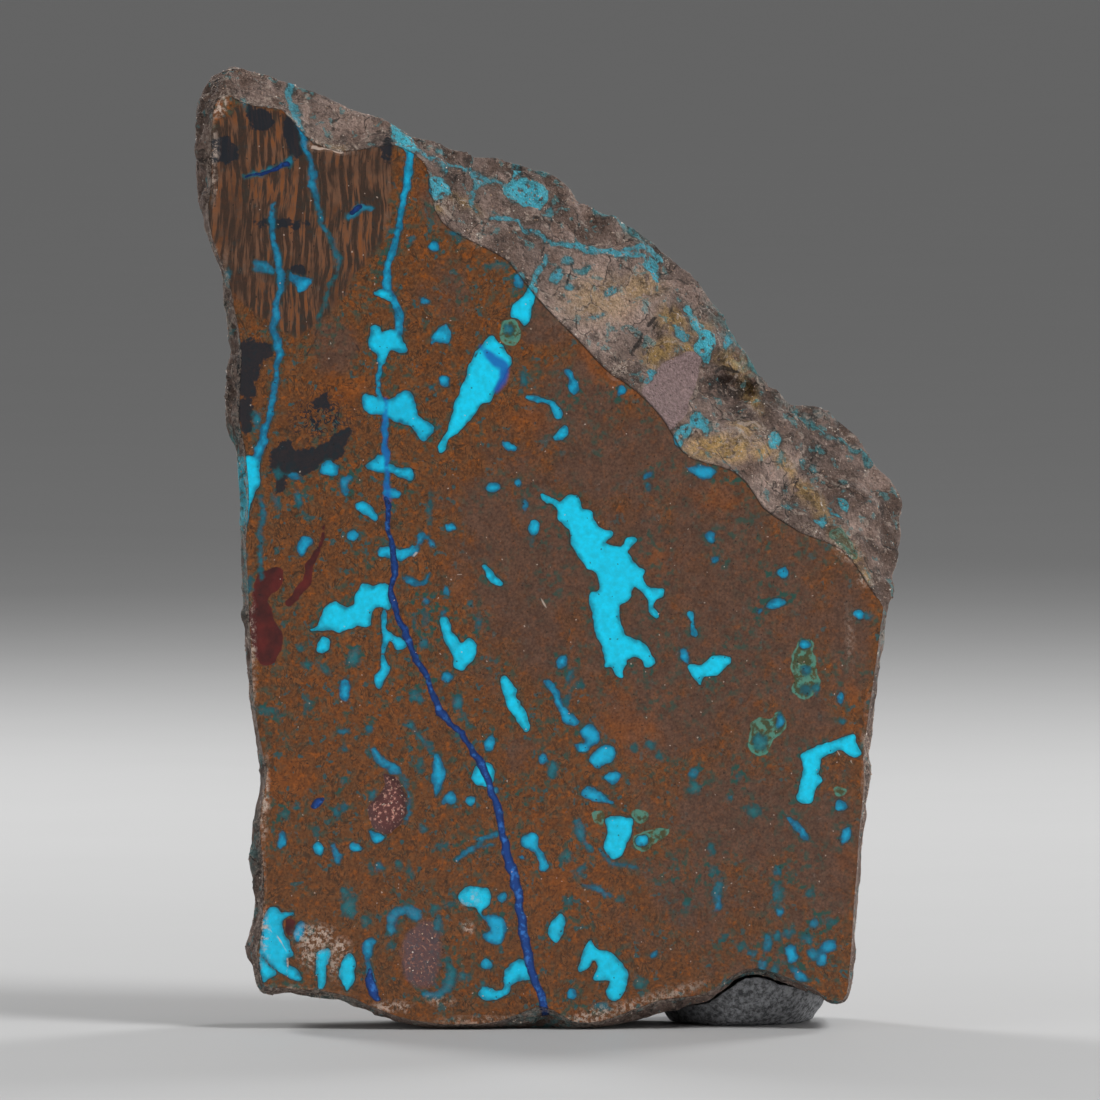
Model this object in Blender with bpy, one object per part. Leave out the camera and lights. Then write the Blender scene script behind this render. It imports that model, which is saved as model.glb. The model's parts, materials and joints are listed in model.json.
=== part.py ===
"""A chrysocolla slab, sawn from a brown copper-ore matrix, standing on its lower edge against a grey lump.

The slab has one polished face at -Y, a broad broken slope along its upper right, a thin broken rind on
its left, a straight sawn right edge and a sawn back. The lump props it from behind and below.
"""

import math

import bmesh
import bpy
from mathutils import Vector, noise

# Driving dimensions, in metres
SLAB_HEIGHT = 0.130
SLAB_THICKNESS = 0.020
SLOPE_DEPTH_MOST = 0.0145
RIM_DEPTH_LEAST = 0.0018
SLOPE_STEEPNESS = 0.86
BACK_INSET = 0.0016
RIND_RELIEF = 0.0019
SLOPE_RELIEF = 0.0012
SEAT_GAP = 0.0004
LUMP_DEPTH = 0.031
LUMP_HEIGHT = 0.0165
LUMP_WIDTH = 0.0252
LUMP_FRONT_SETBACK = 0.0035

# The outline is traced in the picture's own pixels, x to the right and y down.
TRACE_TOP = 67.0
TRACE_FLOOR = 1031.0
TRACE_LEFT = 193.5
TRACE_RIGHT = 905.5
TRACE_STEP = 12.0
METRES_PER_PIXEL = SLAB_HEIGHT / (TRACE_FLOOR - TRACE_TOP)

# Each row is a point on the silhouette, then the step from it to the edge of the polished face.
TOP_EDGE = [
    (228, 67, 4, 30), (238, 69, -1, 32), (253, 72, -1, 34), (267, 75, -1, 33), (282, 81, 0, 29),
    (296, 86, -2, 37), (311, 90, -7, 45), (323, 96, -10, 48), (335, 103, -10, 45), (350, 109, -11, 43),
    (364, 113, -10, 38), (379, 117, -5, 31), (391, 124, -1, 21), (405, 134, -3, 13), (422, 139, -7, 16),
]
UPPER_SLOPE = [
    (437, 142, -13, 21), (454, 151, -26, 25), (468, 157, -38, 35), (481, 159, -47, 50),
    (498, 160, -56, 63), (512, 164, -59, 68), (527, 169, -61, 70), (543, 174, -61, 73),
    (557, 179, -61, 75), (567, 186, -59, 76), (574, 193, -58, 79), (577, 200, -54, 81),
    (580, 205, -50, 85), (591, 211, -53, 89), (605, 217, -57, 94), (620, 223, -62, 98),
    (637, 232, -69, 99), (654, 244, -75, 98), (668, 256, -78, 98), (683, 268, -82, 98),
    (695, 280, -84, 95), (705, 292, -81, 91), (714, 305, -78, 87), (722, 317, -75, 85),
    (732, 334, -75, 79), (744, 351, -78, 74),
]
LOWER_SLOPE = [
    (753, 365, -80, 72), (761, 378, -81, 72), (770, 389, -79, 70), (782, 397, -78, 66),
    (794, 406, -74, 61), (804, 408, -71, 64), (820, 409, -75, 73), (833, 418, -79, 77),
    (845, 427, -83, 81), (857, 436, -83, 81), (865, 448, -78, 77), (872, 461, -72, 72),
    (879, 473, -66, 65), (889, 480, -62, 63), (899, 492, -58, 58), (905, 504, -53, 57),
    (903, 521, -42, 54), (900, 546, -32, 40), (895, 575, -20, 21), (890, 601, -7, 6),
]
RIGHT_EDGE = [
    (886, 623, -5, 1), (883, 647, -5, 1), (879, 676, -5, 1), (875, 703, -5, 0), (872, 739, -7, 1),
    (870, 755, -7, 1), (871, 773, -7, 0), (868, 797, -5, 0), (864, 836, -5, 0), (861, 870, -4, 0),
    (858, 906, -4, 0), (856, 942, -4, 0), (853, 979, -4, -1), (851, 998, -4, -3), (846, 1006, -3, -5),
]
BOTTOM_EDGE = [
    (838, 1008, -2, -6), (827, 1005, -1, -5), (821, 999, -1, -6), (811, 994, 0, -7), (797, 989, 0, -8),
    (782, 985, 1, -9), (770, 980, 1, -8), (758, 977, 0, -8), (746, 978, -1, -8), (734, 985, -3, -8),
    (722, 994, -3, -8), (710, 1003, -4, -9), (685, 1009, -1, -11), (666, 1014, -2, -14),
    (647, 1021, -2, -15), (625, 1026, -1, -12), (601, 1030, 0, -8), (576, 1032, 0, -9),
    (555, 1032, 2, -19), (540, 1032, 0, -25), (519, 1031, -1, -16), (495, 1030, 0, -7),
    (466, 1032, 0, -7), (442, 1032, 0, -7), (418, 1029, 1, -7), (398, 1024, 2, -6), (379, 1017, 2, -6),
    (364, 1011, 2, -6), (350, 1006, 2, -8), (335, 1003, 1, -9), (316, 1000, 1, -9), (296, 997, 1, -7),
    (282, 994, 0, -6), (267, 997, 3, -8), (259, 994, 5, -8), (254, 986, 7, -8),
]
LEFT_EDGE = [
    (252, 967, 7, -4), (246, 959, 11, -4), (244, 949, 14, -2), (247, 940, 13, -2), (252, 925, 10, 0),
    (254, 908, 9, 0), (252, 894, 12, 0), (250, 879, 14, 0), (247, 865, 16, 0), (249, 845, 12, 0),
    (252, 828, 8, 0), (254, 809, 7, 0), (259, 790, 6, 0), (260, 768, 7, 0), (257, 758, 7, 1),
    (254, 739, 6, 0), (251, 715, 5, 0), (248, 691, 5, 0), (246, 662, 6, 0), (244, 630, 6, 0),
    (242, 606, 7, 0), (241, 579, 7, 0), (240, 546, 6, 0), (240, 516, 8, 0), (238, 492, 11, 0),
    (236, 465, 11, 0), (233, 446, 12, 0), (228, 436, 14, 0), (225, 422, 15, -1), (225, 400, 15, 0),
    (226, 375, 15, 0), (229, 355, 13, 0), (228, 336, 12, 0), (226, 324, 12, 0), (223, 304, 11, 1),
    (223, 287, 8, 1), (219, 268, 5, 0), (214, 253, 4, 0), (207, 236, 5, 0), (203, 219, 6, 0),
    (197, 205, 12, -1), (196, 186, 16, 0), (194, 159, 18, 0), (195, 142, 17, 0), (197, 106, 17, 6),
    (202, 86, 16, 15), (209, 77, 15, 19), (220, 73, 10, 23),
]
OUTLINE = TOP_EDGE + UPPER_SLOPE + LOWER_SLOPE + RIGHT_EDGE + BOTTOM_EDGE + LEFT_EDGE

# Broken forms of the slope: centre, half length, half width, turn in degrees, and depth in metres.
# A negative depth is a lump.
SLOPE_FORMS = {
    "hollow_below_the_ledge": ((728, 392), 30, 16, 30, 0.0034),
    "pit_beside_the_hollow": ((741, 388), 12, 8, 20, 0.0012),
    "ledge": ((742, 436), 34, 9, 12, -0.0016),
    "smooth_scoop": ((681, 385), 26, 14, -50, 0.0012),
    "crack_above_the_scoop": ((644, 338), 18, 5, -66, 0.0010),
    "shelf_above_the_scoop": ((700, 345), 28, 9, -28, -0.0008),
    "upper_left_socket": ((452, 208), 22, 11, 20, 0.0016),
    "swelling_by_the_socket": ((478, 196), 22, 14, 20, -0.0008),
    "step_under_the_vein": ((548, 246), 20, 6, -58, 0.0011),
    "upper_shoulder": ((600, 245), 46, 14, 14, -0.0010),
    "dark_cleft": ((779, 491), 20, 8, 35, 0.0022),
    "right_shoulder": ((838, 450), 44, 22, 40, -0.0009),
    "right_dip": ((812, 505), 30, 12, 42, 0.0011),
}

# Where each ring lies on the slope, from the polished edge (0) to the silhouette (1), and on the wall.
SLOPE_RINGS = (0.0, 0.08, 0.19, 0.31, 0.43, 0.55, 0.67, 0.79, 0.90, 1.0)
WALL_RINGS = (0.20, 0.42, 0.64, 0.84, 1.0)
CAP_FAN_SHARE = 0.6

WIDE_SLOPE = 0.008
EVEN_FALL_SHARE = 0.8
SLOPE_EDGE_POWER = 0.6
FULL_RIND_WIDTH = 0.0020
RIND_LEAST_SHARE = 0.3
SAWN_RIND_SHARE = 0.15
SAWN_RIGHT_X = 0.040
SAWN_TOP_Z = 0.058
SAWN_LEAN = 0.1
FOOT_HEIGHT = 0.010
SLOPE_NOISE_SIZE = 0.0065
RIND_NOISE_SIZE = 0.0075

# The lump and the seat that the slab leaves in it
LUMP_TRACE_X = 742
LUMP_WIDEST_SHARE = 0.40
LUMP_DENT = 0.05
LUMP_DENT_COUNT = 1.6
LUMP_DENT_PLACE = Vector((3.1, 0.4, 7.7))
SEAT_TRACE_LEFT = 600
SEAT_TRACE_RIGHT = 890
SEAT_TRACE_TOP = 800
SEAT_TRACE_REACH = 960


def clear_scene():
    for item in list(bpy.data.objects):
        bpy.data.objects.remove(item)


def across(trace_x):
    """X of a traced point: the silhouette is centred on the origin."""
    return (trace_x - (TRACE_LEFT + TRACE_RIGHT) / 2) * METRES_PER_PIXEL


def up(trace_y):
    """Z of a traced point, never below the surface that the slab stands on."""
    return max(0.0, (TRACE_FLOOR - trace_y) * METRES_PER_PIXEL)


FRONT_Y = -(LUMP_FRONT_SETBACK + LUMP_DEPTH) / 2
BACK_Y = FRONT_Y + SLAB_THICKNESS


def smooth_step(value):
    value = min(1.0, max(0.0, value))
    return value * value * (3 - 2 * value)


def curve_point(before, start, end, after, share):
    """A Catmull-Rom spline through rows of numbers."""
    made = []
    for p0, p1, p2, p3 in zip(before, start, end, after):
        made.append(0.5 * (2 * p1 + (p2 - p0) * share + (2 * p0 - 5 * p1 + 4 * p2 - p3) * share ** 2
                           + (3 * p1 - p0 - 3 * p2 + p3) * share ** 3))
    return made


def paired_edges():
    """The silhouette and the polished edge, as matching points (x, z) in metres."""
    pairs = []
    count = len(OUTLINE)
    for n in range(count):
        rows = [OUTLINE[(n + k) % count] for k in (-1, 0, 1, 2)]
        here, there = rows[1], rows[2]
        outer = math.dist(here[:2], there[:2])
        inner = math.dist((here[0] + here[2], here[1] + here[3]), (there[0] + there[2], there[1] + there[3]))
        steps = max(1, round(max(outer, inner) / TRACE_STEP))
        for k in range(steps):
            x, y, step_x, step_y = curve_point(*rows, k / steps)
            silhouette = Vector((across(x), up(y)))
            polished = Vector((across(x + step_x), up(y + step_y)))
            pairs.append((silhouette, polished))
    return pairs


def form_depth(x, z):
    """How far the hollows and lumps of the slope push a point into the stone."""
    total = 0.0
    for (centre_x, centre_y), half_length, half_width, turn, depth in SLOPE_FORMS.values():
        offset_x = (x - across(centre_x)) / METRES_PER_PIXEL
        offset_z = (z - up(centre_y)) / METRES_PER_PIXEL
        angle = math.radians(-turn)
        along = (offset_x * math.cos(angle) + offset_z * math.sin(angle)) / half_length
        aside = (offset_z * math.cos(angle) - offset_x * math.sin(angle)) / half_width
        total += depth * math.exp(-(along ** 2 + aside ** 2))
    return total


def slope_point(silhouette, polished, share):
    """A point between the polished edge and the silhouette, on the broken slope or the narrow rim."""
    width = (silhouette - polished).length
    rim_depth = min(SLOPE_DEPTH_MOST, RIM_DEPTH_LEAST + SLOPE_STEEPNESS * width)
    place = polished.lerp(silhouette, share)
    depth = rim_depth * (EVEN_FALL_SHARE * share + (1 - EVEN_FALL_SHARE) * share ** 2)
    wide = smooth_step(width / WIDE_SLOPE)
    inside = math.sin(math.pi * share) ** SLOPE_EDGE_POWER if 0 < share < 1 else 0.0
    rough = noise.noise(Vector((place.x, depth, place.y)) / SLOPE_NOISE_SIZE)
    depth += wide * inside * (form_depth(place.x, place.y) + SLOPE_RELIEF * rough)
    return Vector((place.x, FRONT_Y + max(0.0, depth), place.y)), rim_depth


def wall_point(silhouette, inward, rim_depth, width, share):
    """A point on the wall behind the silhouette. The foot and the sawn right edge stay straight."""
    depth = rim_depth + (SLAB_THICKNESS - rim_depth) * share
    sawn_from_x = SAWN_RIGHT_X * (1 - SAWN_LEAN * silhouette.y / SAWN_TOP_Z)
    sawn = silhouette.x > sawn_from_x and silhouette.y < SAWN_TOP_Z
    foot = smooth_step(silhouette.y / FOOT_HEIGHT)
    rind = (SAWN_RIND_SHARE if sawn else 1.0) * foot * smooth_step(RIND_LEAST_SHARE + width / FULL_RIND_WIDTH)
    rough = 0.5 + noise.noise(Vector((silhouette.x, depth, silhouette.y)) / RIND_NOISE_SIZE)
    inset = rind * (BACK_INSET * share ** 2 + RIND_RELIEF * max(0.0, rough) * share ** 0.5)
    place = silhouette + inward * inset
    return Vector((place.x, FRONT_Y + depth, max(0.0, place.y)))


def slab_rings():
    """Closed rings of points, from the polished edge round the silhouette to the back edge."""
    pairs = paired_edges()
    centre = sum((silhouette for silhouette, polished in pairs), Vector((0, 0))) / len(pairs)
    rings = [[] for share in SLOPE_RINGS + WALL_RINGS]
    for silhouette, polished in pairs:
        width = (silhouette - polished).length
        inward = (centre - silhouette).normalized()
        for ring, share in zip(rings, SLOPE_RINGS):
            place, rim_depth = slope_point(silhouette, polished, share)
            ring.append(place)
        for ring, share in zip(rings[len(SLOPE_RINGS):], WALL_RINGS):
            ring.append(wall_point(silhouette, inward, rim_depth, width, share))
    return rings


def stone_material(name, colour, roughness):
    made = bpy.data.materials.new(name)
    made.use_nodes = True
    shader = made.node_tree.nodes["Principled BSDF"]
    shader.inputs["Base Color"].default_value = (*colour, 1)
    shader.inputs["Roughness"].default_value = roughness
    shader.inputs["Metallic"].default_value = 0.0
    return made


def finish_object(name, shape, material):
    """Closes the mesh up, turns its faces outwards and puts it in the scene."""
    bmesh.ops.recalc_face_normals(shape, faces=shape.faces[:])
    mesh = bpy.data.meshes.new(name)
    shape.to_mesh(mesh)
    shape.free()
    mesh.materials.append(material)
    made = bpy.data.objects.new(name, mesh)
    bpy.context.scene.collection.objects.link(made)
    return made


def bridge_rings(shape, near, far):
    for n in range(len(near)):
        shape.faces.new((near[n - 1], near[n], far[n], far[n - 1]))


def close_flat(shape, rim):
    """Fills a flat rim with a band of quads and a fan, so that no triangle is a sliver along a straight edge."""
    hub = shape.verts.new(sum((corner.co for corner in rim), Vector()) / len(rim))
    inner = [shape.verts.new(hub.co.lerp(corner.co, CAP_FAN_SHARE)) for corner in rim]
    bridge_rings(shape, rim, inner)
    for n in range(len(inner)):
        shape.faces.new((inner[n - 1], inner[n], hub))


def add_slab():
    shape = bmesh.new()
    rings = [[shape.verts.new(point) for point in ring] for ring in slab_rings()]
    for near, far in zip(rings, rings[1:]):
        bridge_rings(shape, near, far)
    close_flat(shape, rings[0])
    close_flat(shape, rings[-1])
    brown_stone = stone_material("polished_brown_stone", (0.155, 0.075, 0.045), 0.28)
    slab = finish_object("slab", shape, brown_stone)
    slab.data.shade_smooth()
    slab.data.set_sharp_from_angle(angle=math.radians(28))
    return slab


def add_seat_cutter():
    """The space that the slab takes, with the gap round it, as a prism cut out of the lump."""
    left, right, top_z = across(SEAT_TRACE_LEFT), across(SEAT_TRACE_RIGHT), up(SEAT_TRACE_TOP)
    silhouette = [pair[0] for pair in paired_edges()]
    near_edge = [point for point in silhouette if point.x > left and point.y < up(SEAT_TRACE_REACH)]
    near_edge.sort(key=lambda point: point.x)
    shape = bmesh.new()
    foot = [Vector((point.x, 0, point.y - SEAT_GAP)) for point in near_edge]
    foot.insert(0, Vector((left, 0, -SEAT_GAP)))
    foot.append(Vector((right, 0, foot[-1].z)))
    top = [Vector((right, 0, top_z)), Vector((left, 0, top_z))]
    corners = [shape.verts.new(point + Vector((0, FRONT_Y - SLAB_THICKNESS, 0))) for point in foot + top]
    face = shape.faces.new(corners)
    pushed = bmesh.ops.extrude_face_region(shape, geom=[face])
    moved = [item for item in pushed["geom"] if isinstance(item, bmesh.types.BMVert)]
    shift = Vector((0, BACK_Y + SEAT_GAP - (FRONT_Y - SLAB_THICKNESS), 0))
    bmesh.ops.translate(shape, verts=moved, vec=shift)
    cutter = finish_object("slab_seat_cutter", shape, stone_material("cutter", (0.5, 0.5, 0.5), 0.5))
    cutter.hide_render = True
    cutter.display_type = "WIRE"
    return cutter


def add_lump(cutter):
    """A rounded lump, pressed flat below and pushed up against the slab's back and notch."""
    shape = bmesh.new()
    bmesh.ops.create_icosphere(shape, subdivisions=4, radius=1)
    centre_x = across(LUMP_TRACE_X)
    centre_y = FRONT_Y + LUMP_FRONT_SETBACK + LUMP_DEPTH / 2
    centre_z = LUMP_WIDEST_SHARE * LUMP_HEIGHT
    for corner in shape.verts:
        dent = 1 + LUMP_DENT * noise.noise(corner.co * LUMP_DENT_COUNT + LUMP_DENT_PLACE)
        x, y, z = corner.co * dent
        height = centre_z + z * (LUMP_HEIGHT - centre_z)
        corner.co = (centre_x + x * LUMP_WIDTH / 2, centre_y + y * LUMP_DEPTH / 2, max(0.0, height))
    lump = finish_object("grey_prop_lump", shape, stone_material("grey_putty", (0.16, 0.16, 0.165), 0.85))
    cut = lump.modifiers.new("seat", "BOOLEAN")
    cut.operation = "DIFFERENCE"
    cut.object = cutter
    lump.data.shade_smooth()
    lump.data.set_sharp_from_angle(angle=math.radians(40))
    return lump


def main():
    clear_scene()
    add_slab()
    add_lump(add_seat_cutter())


main()
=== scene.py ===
"""The looks of a polished chrysocolla slab that stands on its lower edge against a grey prop lump.

The slab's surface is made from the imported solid's own mesh, cut finer where a marking has an edge.
Each marking is an outline, a vein or a spot in the picture's pixels. It becomes a distance that the
stone's material reads.
"""

import json
import math

import bmesh
import bpy
import numpy as np
from bpy.props import FloatProperty, FloatVectorProperty, IntProperty, PointerProperty
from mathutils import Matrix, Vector, kdtree, noise
from mathutils.geometry import delaunay_2d_cdt

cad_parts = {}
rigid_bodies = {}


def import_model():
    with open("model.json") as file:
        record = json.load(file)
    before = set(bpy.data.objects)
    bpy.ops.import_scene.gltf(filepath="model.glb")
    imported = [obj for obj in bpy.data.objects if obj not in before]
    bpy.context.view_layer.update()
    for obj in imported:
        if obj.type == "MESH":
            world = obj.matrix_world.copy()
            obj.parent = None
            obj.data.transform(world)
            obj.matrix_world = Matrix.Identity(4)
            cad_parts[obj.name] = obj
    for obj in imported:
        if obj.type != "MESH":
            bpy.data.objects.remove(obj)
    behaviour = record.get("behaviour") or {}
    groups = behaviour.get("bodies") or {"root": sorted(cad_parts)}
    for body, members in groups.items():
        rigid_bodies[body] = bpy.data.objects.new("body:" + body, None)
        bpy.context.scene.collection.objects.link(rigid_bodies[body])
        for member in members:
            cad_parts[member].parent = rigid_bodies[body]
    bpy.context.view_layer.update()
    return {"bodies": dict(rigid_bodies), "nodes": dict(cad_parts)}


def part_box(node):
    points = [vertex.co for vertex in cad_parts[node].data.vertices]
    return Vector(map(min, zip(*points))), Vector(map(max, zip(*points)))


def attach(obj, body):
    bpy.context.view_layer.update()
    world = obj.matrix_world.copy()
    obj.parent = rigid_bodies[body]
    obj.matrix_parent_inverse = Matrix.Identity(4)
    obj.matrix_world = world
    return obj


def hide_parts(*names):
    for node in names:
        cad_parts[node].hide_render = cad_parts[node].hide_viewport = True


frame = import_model()

bl_info = {
    "name": "Chrysocolla slab",
    "version": (1, 0, 0),
    "blender": (4, 5, 0),
    "location": "View3D > Sidebar > Stone slab",
    "description": "Dresses a sawn and polished copper-ore slab with its veins, patches and broken rim",
    "category": "Object",
}

# The picture's pixels, x to the right and y down, against the slab's own box
TRACE_TOP = 67.0
TRACE_FLOOR = 1031.0
TRACE_MIDDLE = 549.5
SLAB_LOW, SLAB_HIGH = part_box("slab")
LUMP_LOW, LUMP_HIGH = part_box("grey_prop_lump")
METRES_PER_PIXEL = (SLAB_HIGH.z - SLAB_LOW.z) / (TRACE_FLOOR - TRACE_TOP)
MILLIMETRES = 1000
MILLIMETRES_PER_PIXEL = METRES_PER_PIXEL * MILLIMETRES

# Corners nearer than this are one corner, and corners nearer to a level than this lie on it
MERGE_GAP = 0.000002
FLAT_GAP = 0.00001
# The depth in millimetres of a place that no marking is near, and how near counts, in pixels
FAR_AWAY = -6.0
REACH = 14.0
# The step in pixels along a rounded outline
ROUNDING_STEP = 2.5
CUT_PASSES = 5
# The fine bends of an outline against its wide ones
FINER_SHARE = 0.4
# Keeps a division by a length of 0 from failing
TINY = 1e-12
TINY_AREA = 1e-20
# How much room a flat face's own points leave at its edge, in steps
EDGE_ROOM = 0.6
# A soft area rises over this span of depth, where 1 is its middle and 0 its edge
SOFT_SPAN = (-0.6, 0.7)
# The brightness that counts where no turquoise is near
FAR_TONE = 0.3
# Stone whose normal's y is below this shows from the front
FRONT_FACING = -0.05
# The worn edge fades in between these distances to the left of the middle, and between these heights
WORN_LEFT = (0.022, 0.03)
WORN_LOW = (0.012, 0.006)
# Relief fades in between these heights, so that the foot stays flat
SLAB_FOOT = (0.0002, 0.0016)
LUMP_FOOT = (0.0002, 0.0012)

# How wide the stones' noises are, in metres
DUST = 0.0003
POWDER = 0.0004
SAND = 0.0005
GRIT = 0.0007
FLECK = 0.0009
CRUMB = 0.0012
CHIP = 0.0017
BLOT = 0.0022
PATCH = 0.003
BLOTCH = 0.0045
HAZE = 0.005
# How wide the broken stone's flat planes are, in metres
PLANE = 0.0042

# Veins: brightness at the start and at the end (0 dull teal, 1 bright cyan), then x, y and half width.
VEINS = {
    "top_left": (0.62, 0.2, [
        (291, 84, 3.6), (294, 99, 3.5), (296, 113, 3.2), (301, 130, 3.0), (305, 147, 3.0),
        (311, 161, 3.0), (313, 176, 3.4), (312, 186, 3.0), (317, 198, 2.6), (319, 215, 2.5),
        (325, 229, 2.2), (334, 244, 2.1), (339, 258, 2.1), (337, 270, 1.9), (331, 285, 1.8),
        (325, 302, 1.5), (319, 319, 1.0)]),
    "second": (0.45, 0.6, [
        (274, 205, 1.6), (273, 220, 3.0), (272, 234, 2.8), (276, 251, 3.2), (279, 266, 3.4),
        (283, 278, 3.8), (279, 295, 3.4), (276, 312, 3.4), (274, 329, 3.2), (278, 343, 3.6),
        (280, 353, 4.8), (277, 367, 2.0), (276, 384, 2.6), (273, 401, 2.4), (270, 415, 2.8),
        (265, 431, 3.6), (261, 446, 4.2), (255, 460, 4.4)]),
    "blue_dash": (0.3, 0.4, [
        (245, 176, 1.8), (253, 175, 2.4), (262, 174, 2.6), (270, 169, 2.6), (281, 167, 1.4),
        (288, 164, 3.2), (291, 157, 2.0)]),
    "main_top": (0.66, 0.6, [
        (410, 150, 4.0), (409, 166, 4.0), (408, 181, 4.0), (404, 195, 3.4), (402, 210, 3.2),
        (399, 224, 3.0), (397, 239, 3.0), (393, 251, 3.6), (388, 263, 3.8), (387, 273, 3.8),
        (387, 283, 4.2), (391, 295, 4.2), (397, 307, 3.8), (400, 319, 4.0), (399, 333, 3.5)]),
    "main_middle": (0.66, 0.66, [(380, 358, 3.2), (379, 375, 2.8), (379, 389, 2.8), (382, 404, 3.2)]),
    "main_lower": (0.62, 0.5, [
        (386, 412, 3.2), (385, 429, 3.0), (385, 444, 2.8), (386, 456, 3.0), (386, 473, 2.8),
        (387, 492, 2.8)]),
    "left_thin": (0.35, 0.3, [
        (261, 497, 1.8), (264, 514, 2.4), (262, 528, 1.6), (260, 545, 2.4), (260, 565, 1.8),
        (261, 579, 1.6)]),
    "teardrop_stem": (0.55, 0.8, [(549, 254, 2.0), (541, 268, 3.0), (535, 280, 3.6), (531, 292, 3.8)]),
    "rim_a": (0.7, 0.45, [
        (409, 143, 2.4), (420, 151, 2.2), (431, 157, 1.8), (438, 164, 1.8), (446, 172, 1.4)]),
    "rim_socket": (0.6, 0.5, [
        (446, 164, 1.4), (462, 170, 1.8), (474, 176, 2.6), (488, 180, 1.8), (503, 186, 1.6)]),
    "rim_b": (0.6, 0.7, [
        (490, 218, 1.4), (504, 217, 2.2), (513, 221, 2.0), (524, 226, 1.8), (533, 233, 1.6),
        (542, 241, 2.2), (553, 244, 1.8), (565, 245, 2.2), (580, 247, 3.0), (596, 252, 3.6),
        (611, 254, 3.4), (623, 257, 3.0), (636, 259, 2.8), (652, 261, 3.0), (665, 264, 1.8)]),
    "rim_b_branch": (0.62, 0.62, [
        (620, 254, 1.8), (630, 250, 2.2), (643, 250, 2.6), (652, 252, 2.4), (661, 258, 1.6)]),
    "rim_c": (0.3, 0.34, [
        (798, 415, 1.5), (807, 421, 2.2), (816, 429, 2.2), (827, 438, 1.9), (838, 443, 1.6),
        (851, 450, 1.4), (861, 458, 1.6), (872, 468, 1.4)]),
    "crest_upper": (0.34, 0.3, [
        (592, 212, 1.4), (606, 219, 2.2), (620, 226, 2.4), (633, 234, 1.8), (645, 246, 1.2)]),
    "crest_lower": (0.2, 0.2, [
        (714, 306, 1.4), (724, 322, 2.0), (733, 337, 1.6), (747, 357, 1.4), (762, 380, 1.2)]),
    "rim_dash": (0.7, 0.7, [(829, 509, 1.4), (836, 515, 1.8), (844, 521, 1.2)]),
    "square_hook": (0.35, 0.35, [
        (600, 850, 1.4), (606, 858, 1.8), (615, 864, 2.0), (626, 867, 1.8), (638, 868, 1.0)]),
    "dash_left_of_blue": (0.5, 0.4, [(457, 859, 1.8), (466, 853, 2.2), (477, 848, 1.6), (494, 845, 1.0)]),
    "dash_upper": (0.45, 0.45, [(478, 841, 1.8), (487, 837, 2.6), (496, 835, 2.0)]),
    "geode_rim": (0.3, 0.45, [
        (402, 777, 1.8), (407, 787, 1.6), (409, 799, 1.4), (410, 812, 1.8), (405, 822, 1.4)]),
    "c_arc": (0.2, 0.4, [
        (447, 958, 2.6), (450, 969, 5.0), (451, 981, 5.4), (445, 991, 5.0), (435, 996, 3.8),
        (424, 996, 2.6)]),
    "small_bridge": (0.5, 0.5, [
        (413, 556, 2.0), (419, 546, 2.0), (421, 536, 4.2), (428, 538, 2.0), (433, 545, 3.0)]),
    "purple_ring": (0.16, 0.2, [(388, 934, 2.0), (392, 914, 2.2), (404, 907, 2.4), (420, 914, 2.2)]),
}

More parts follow.
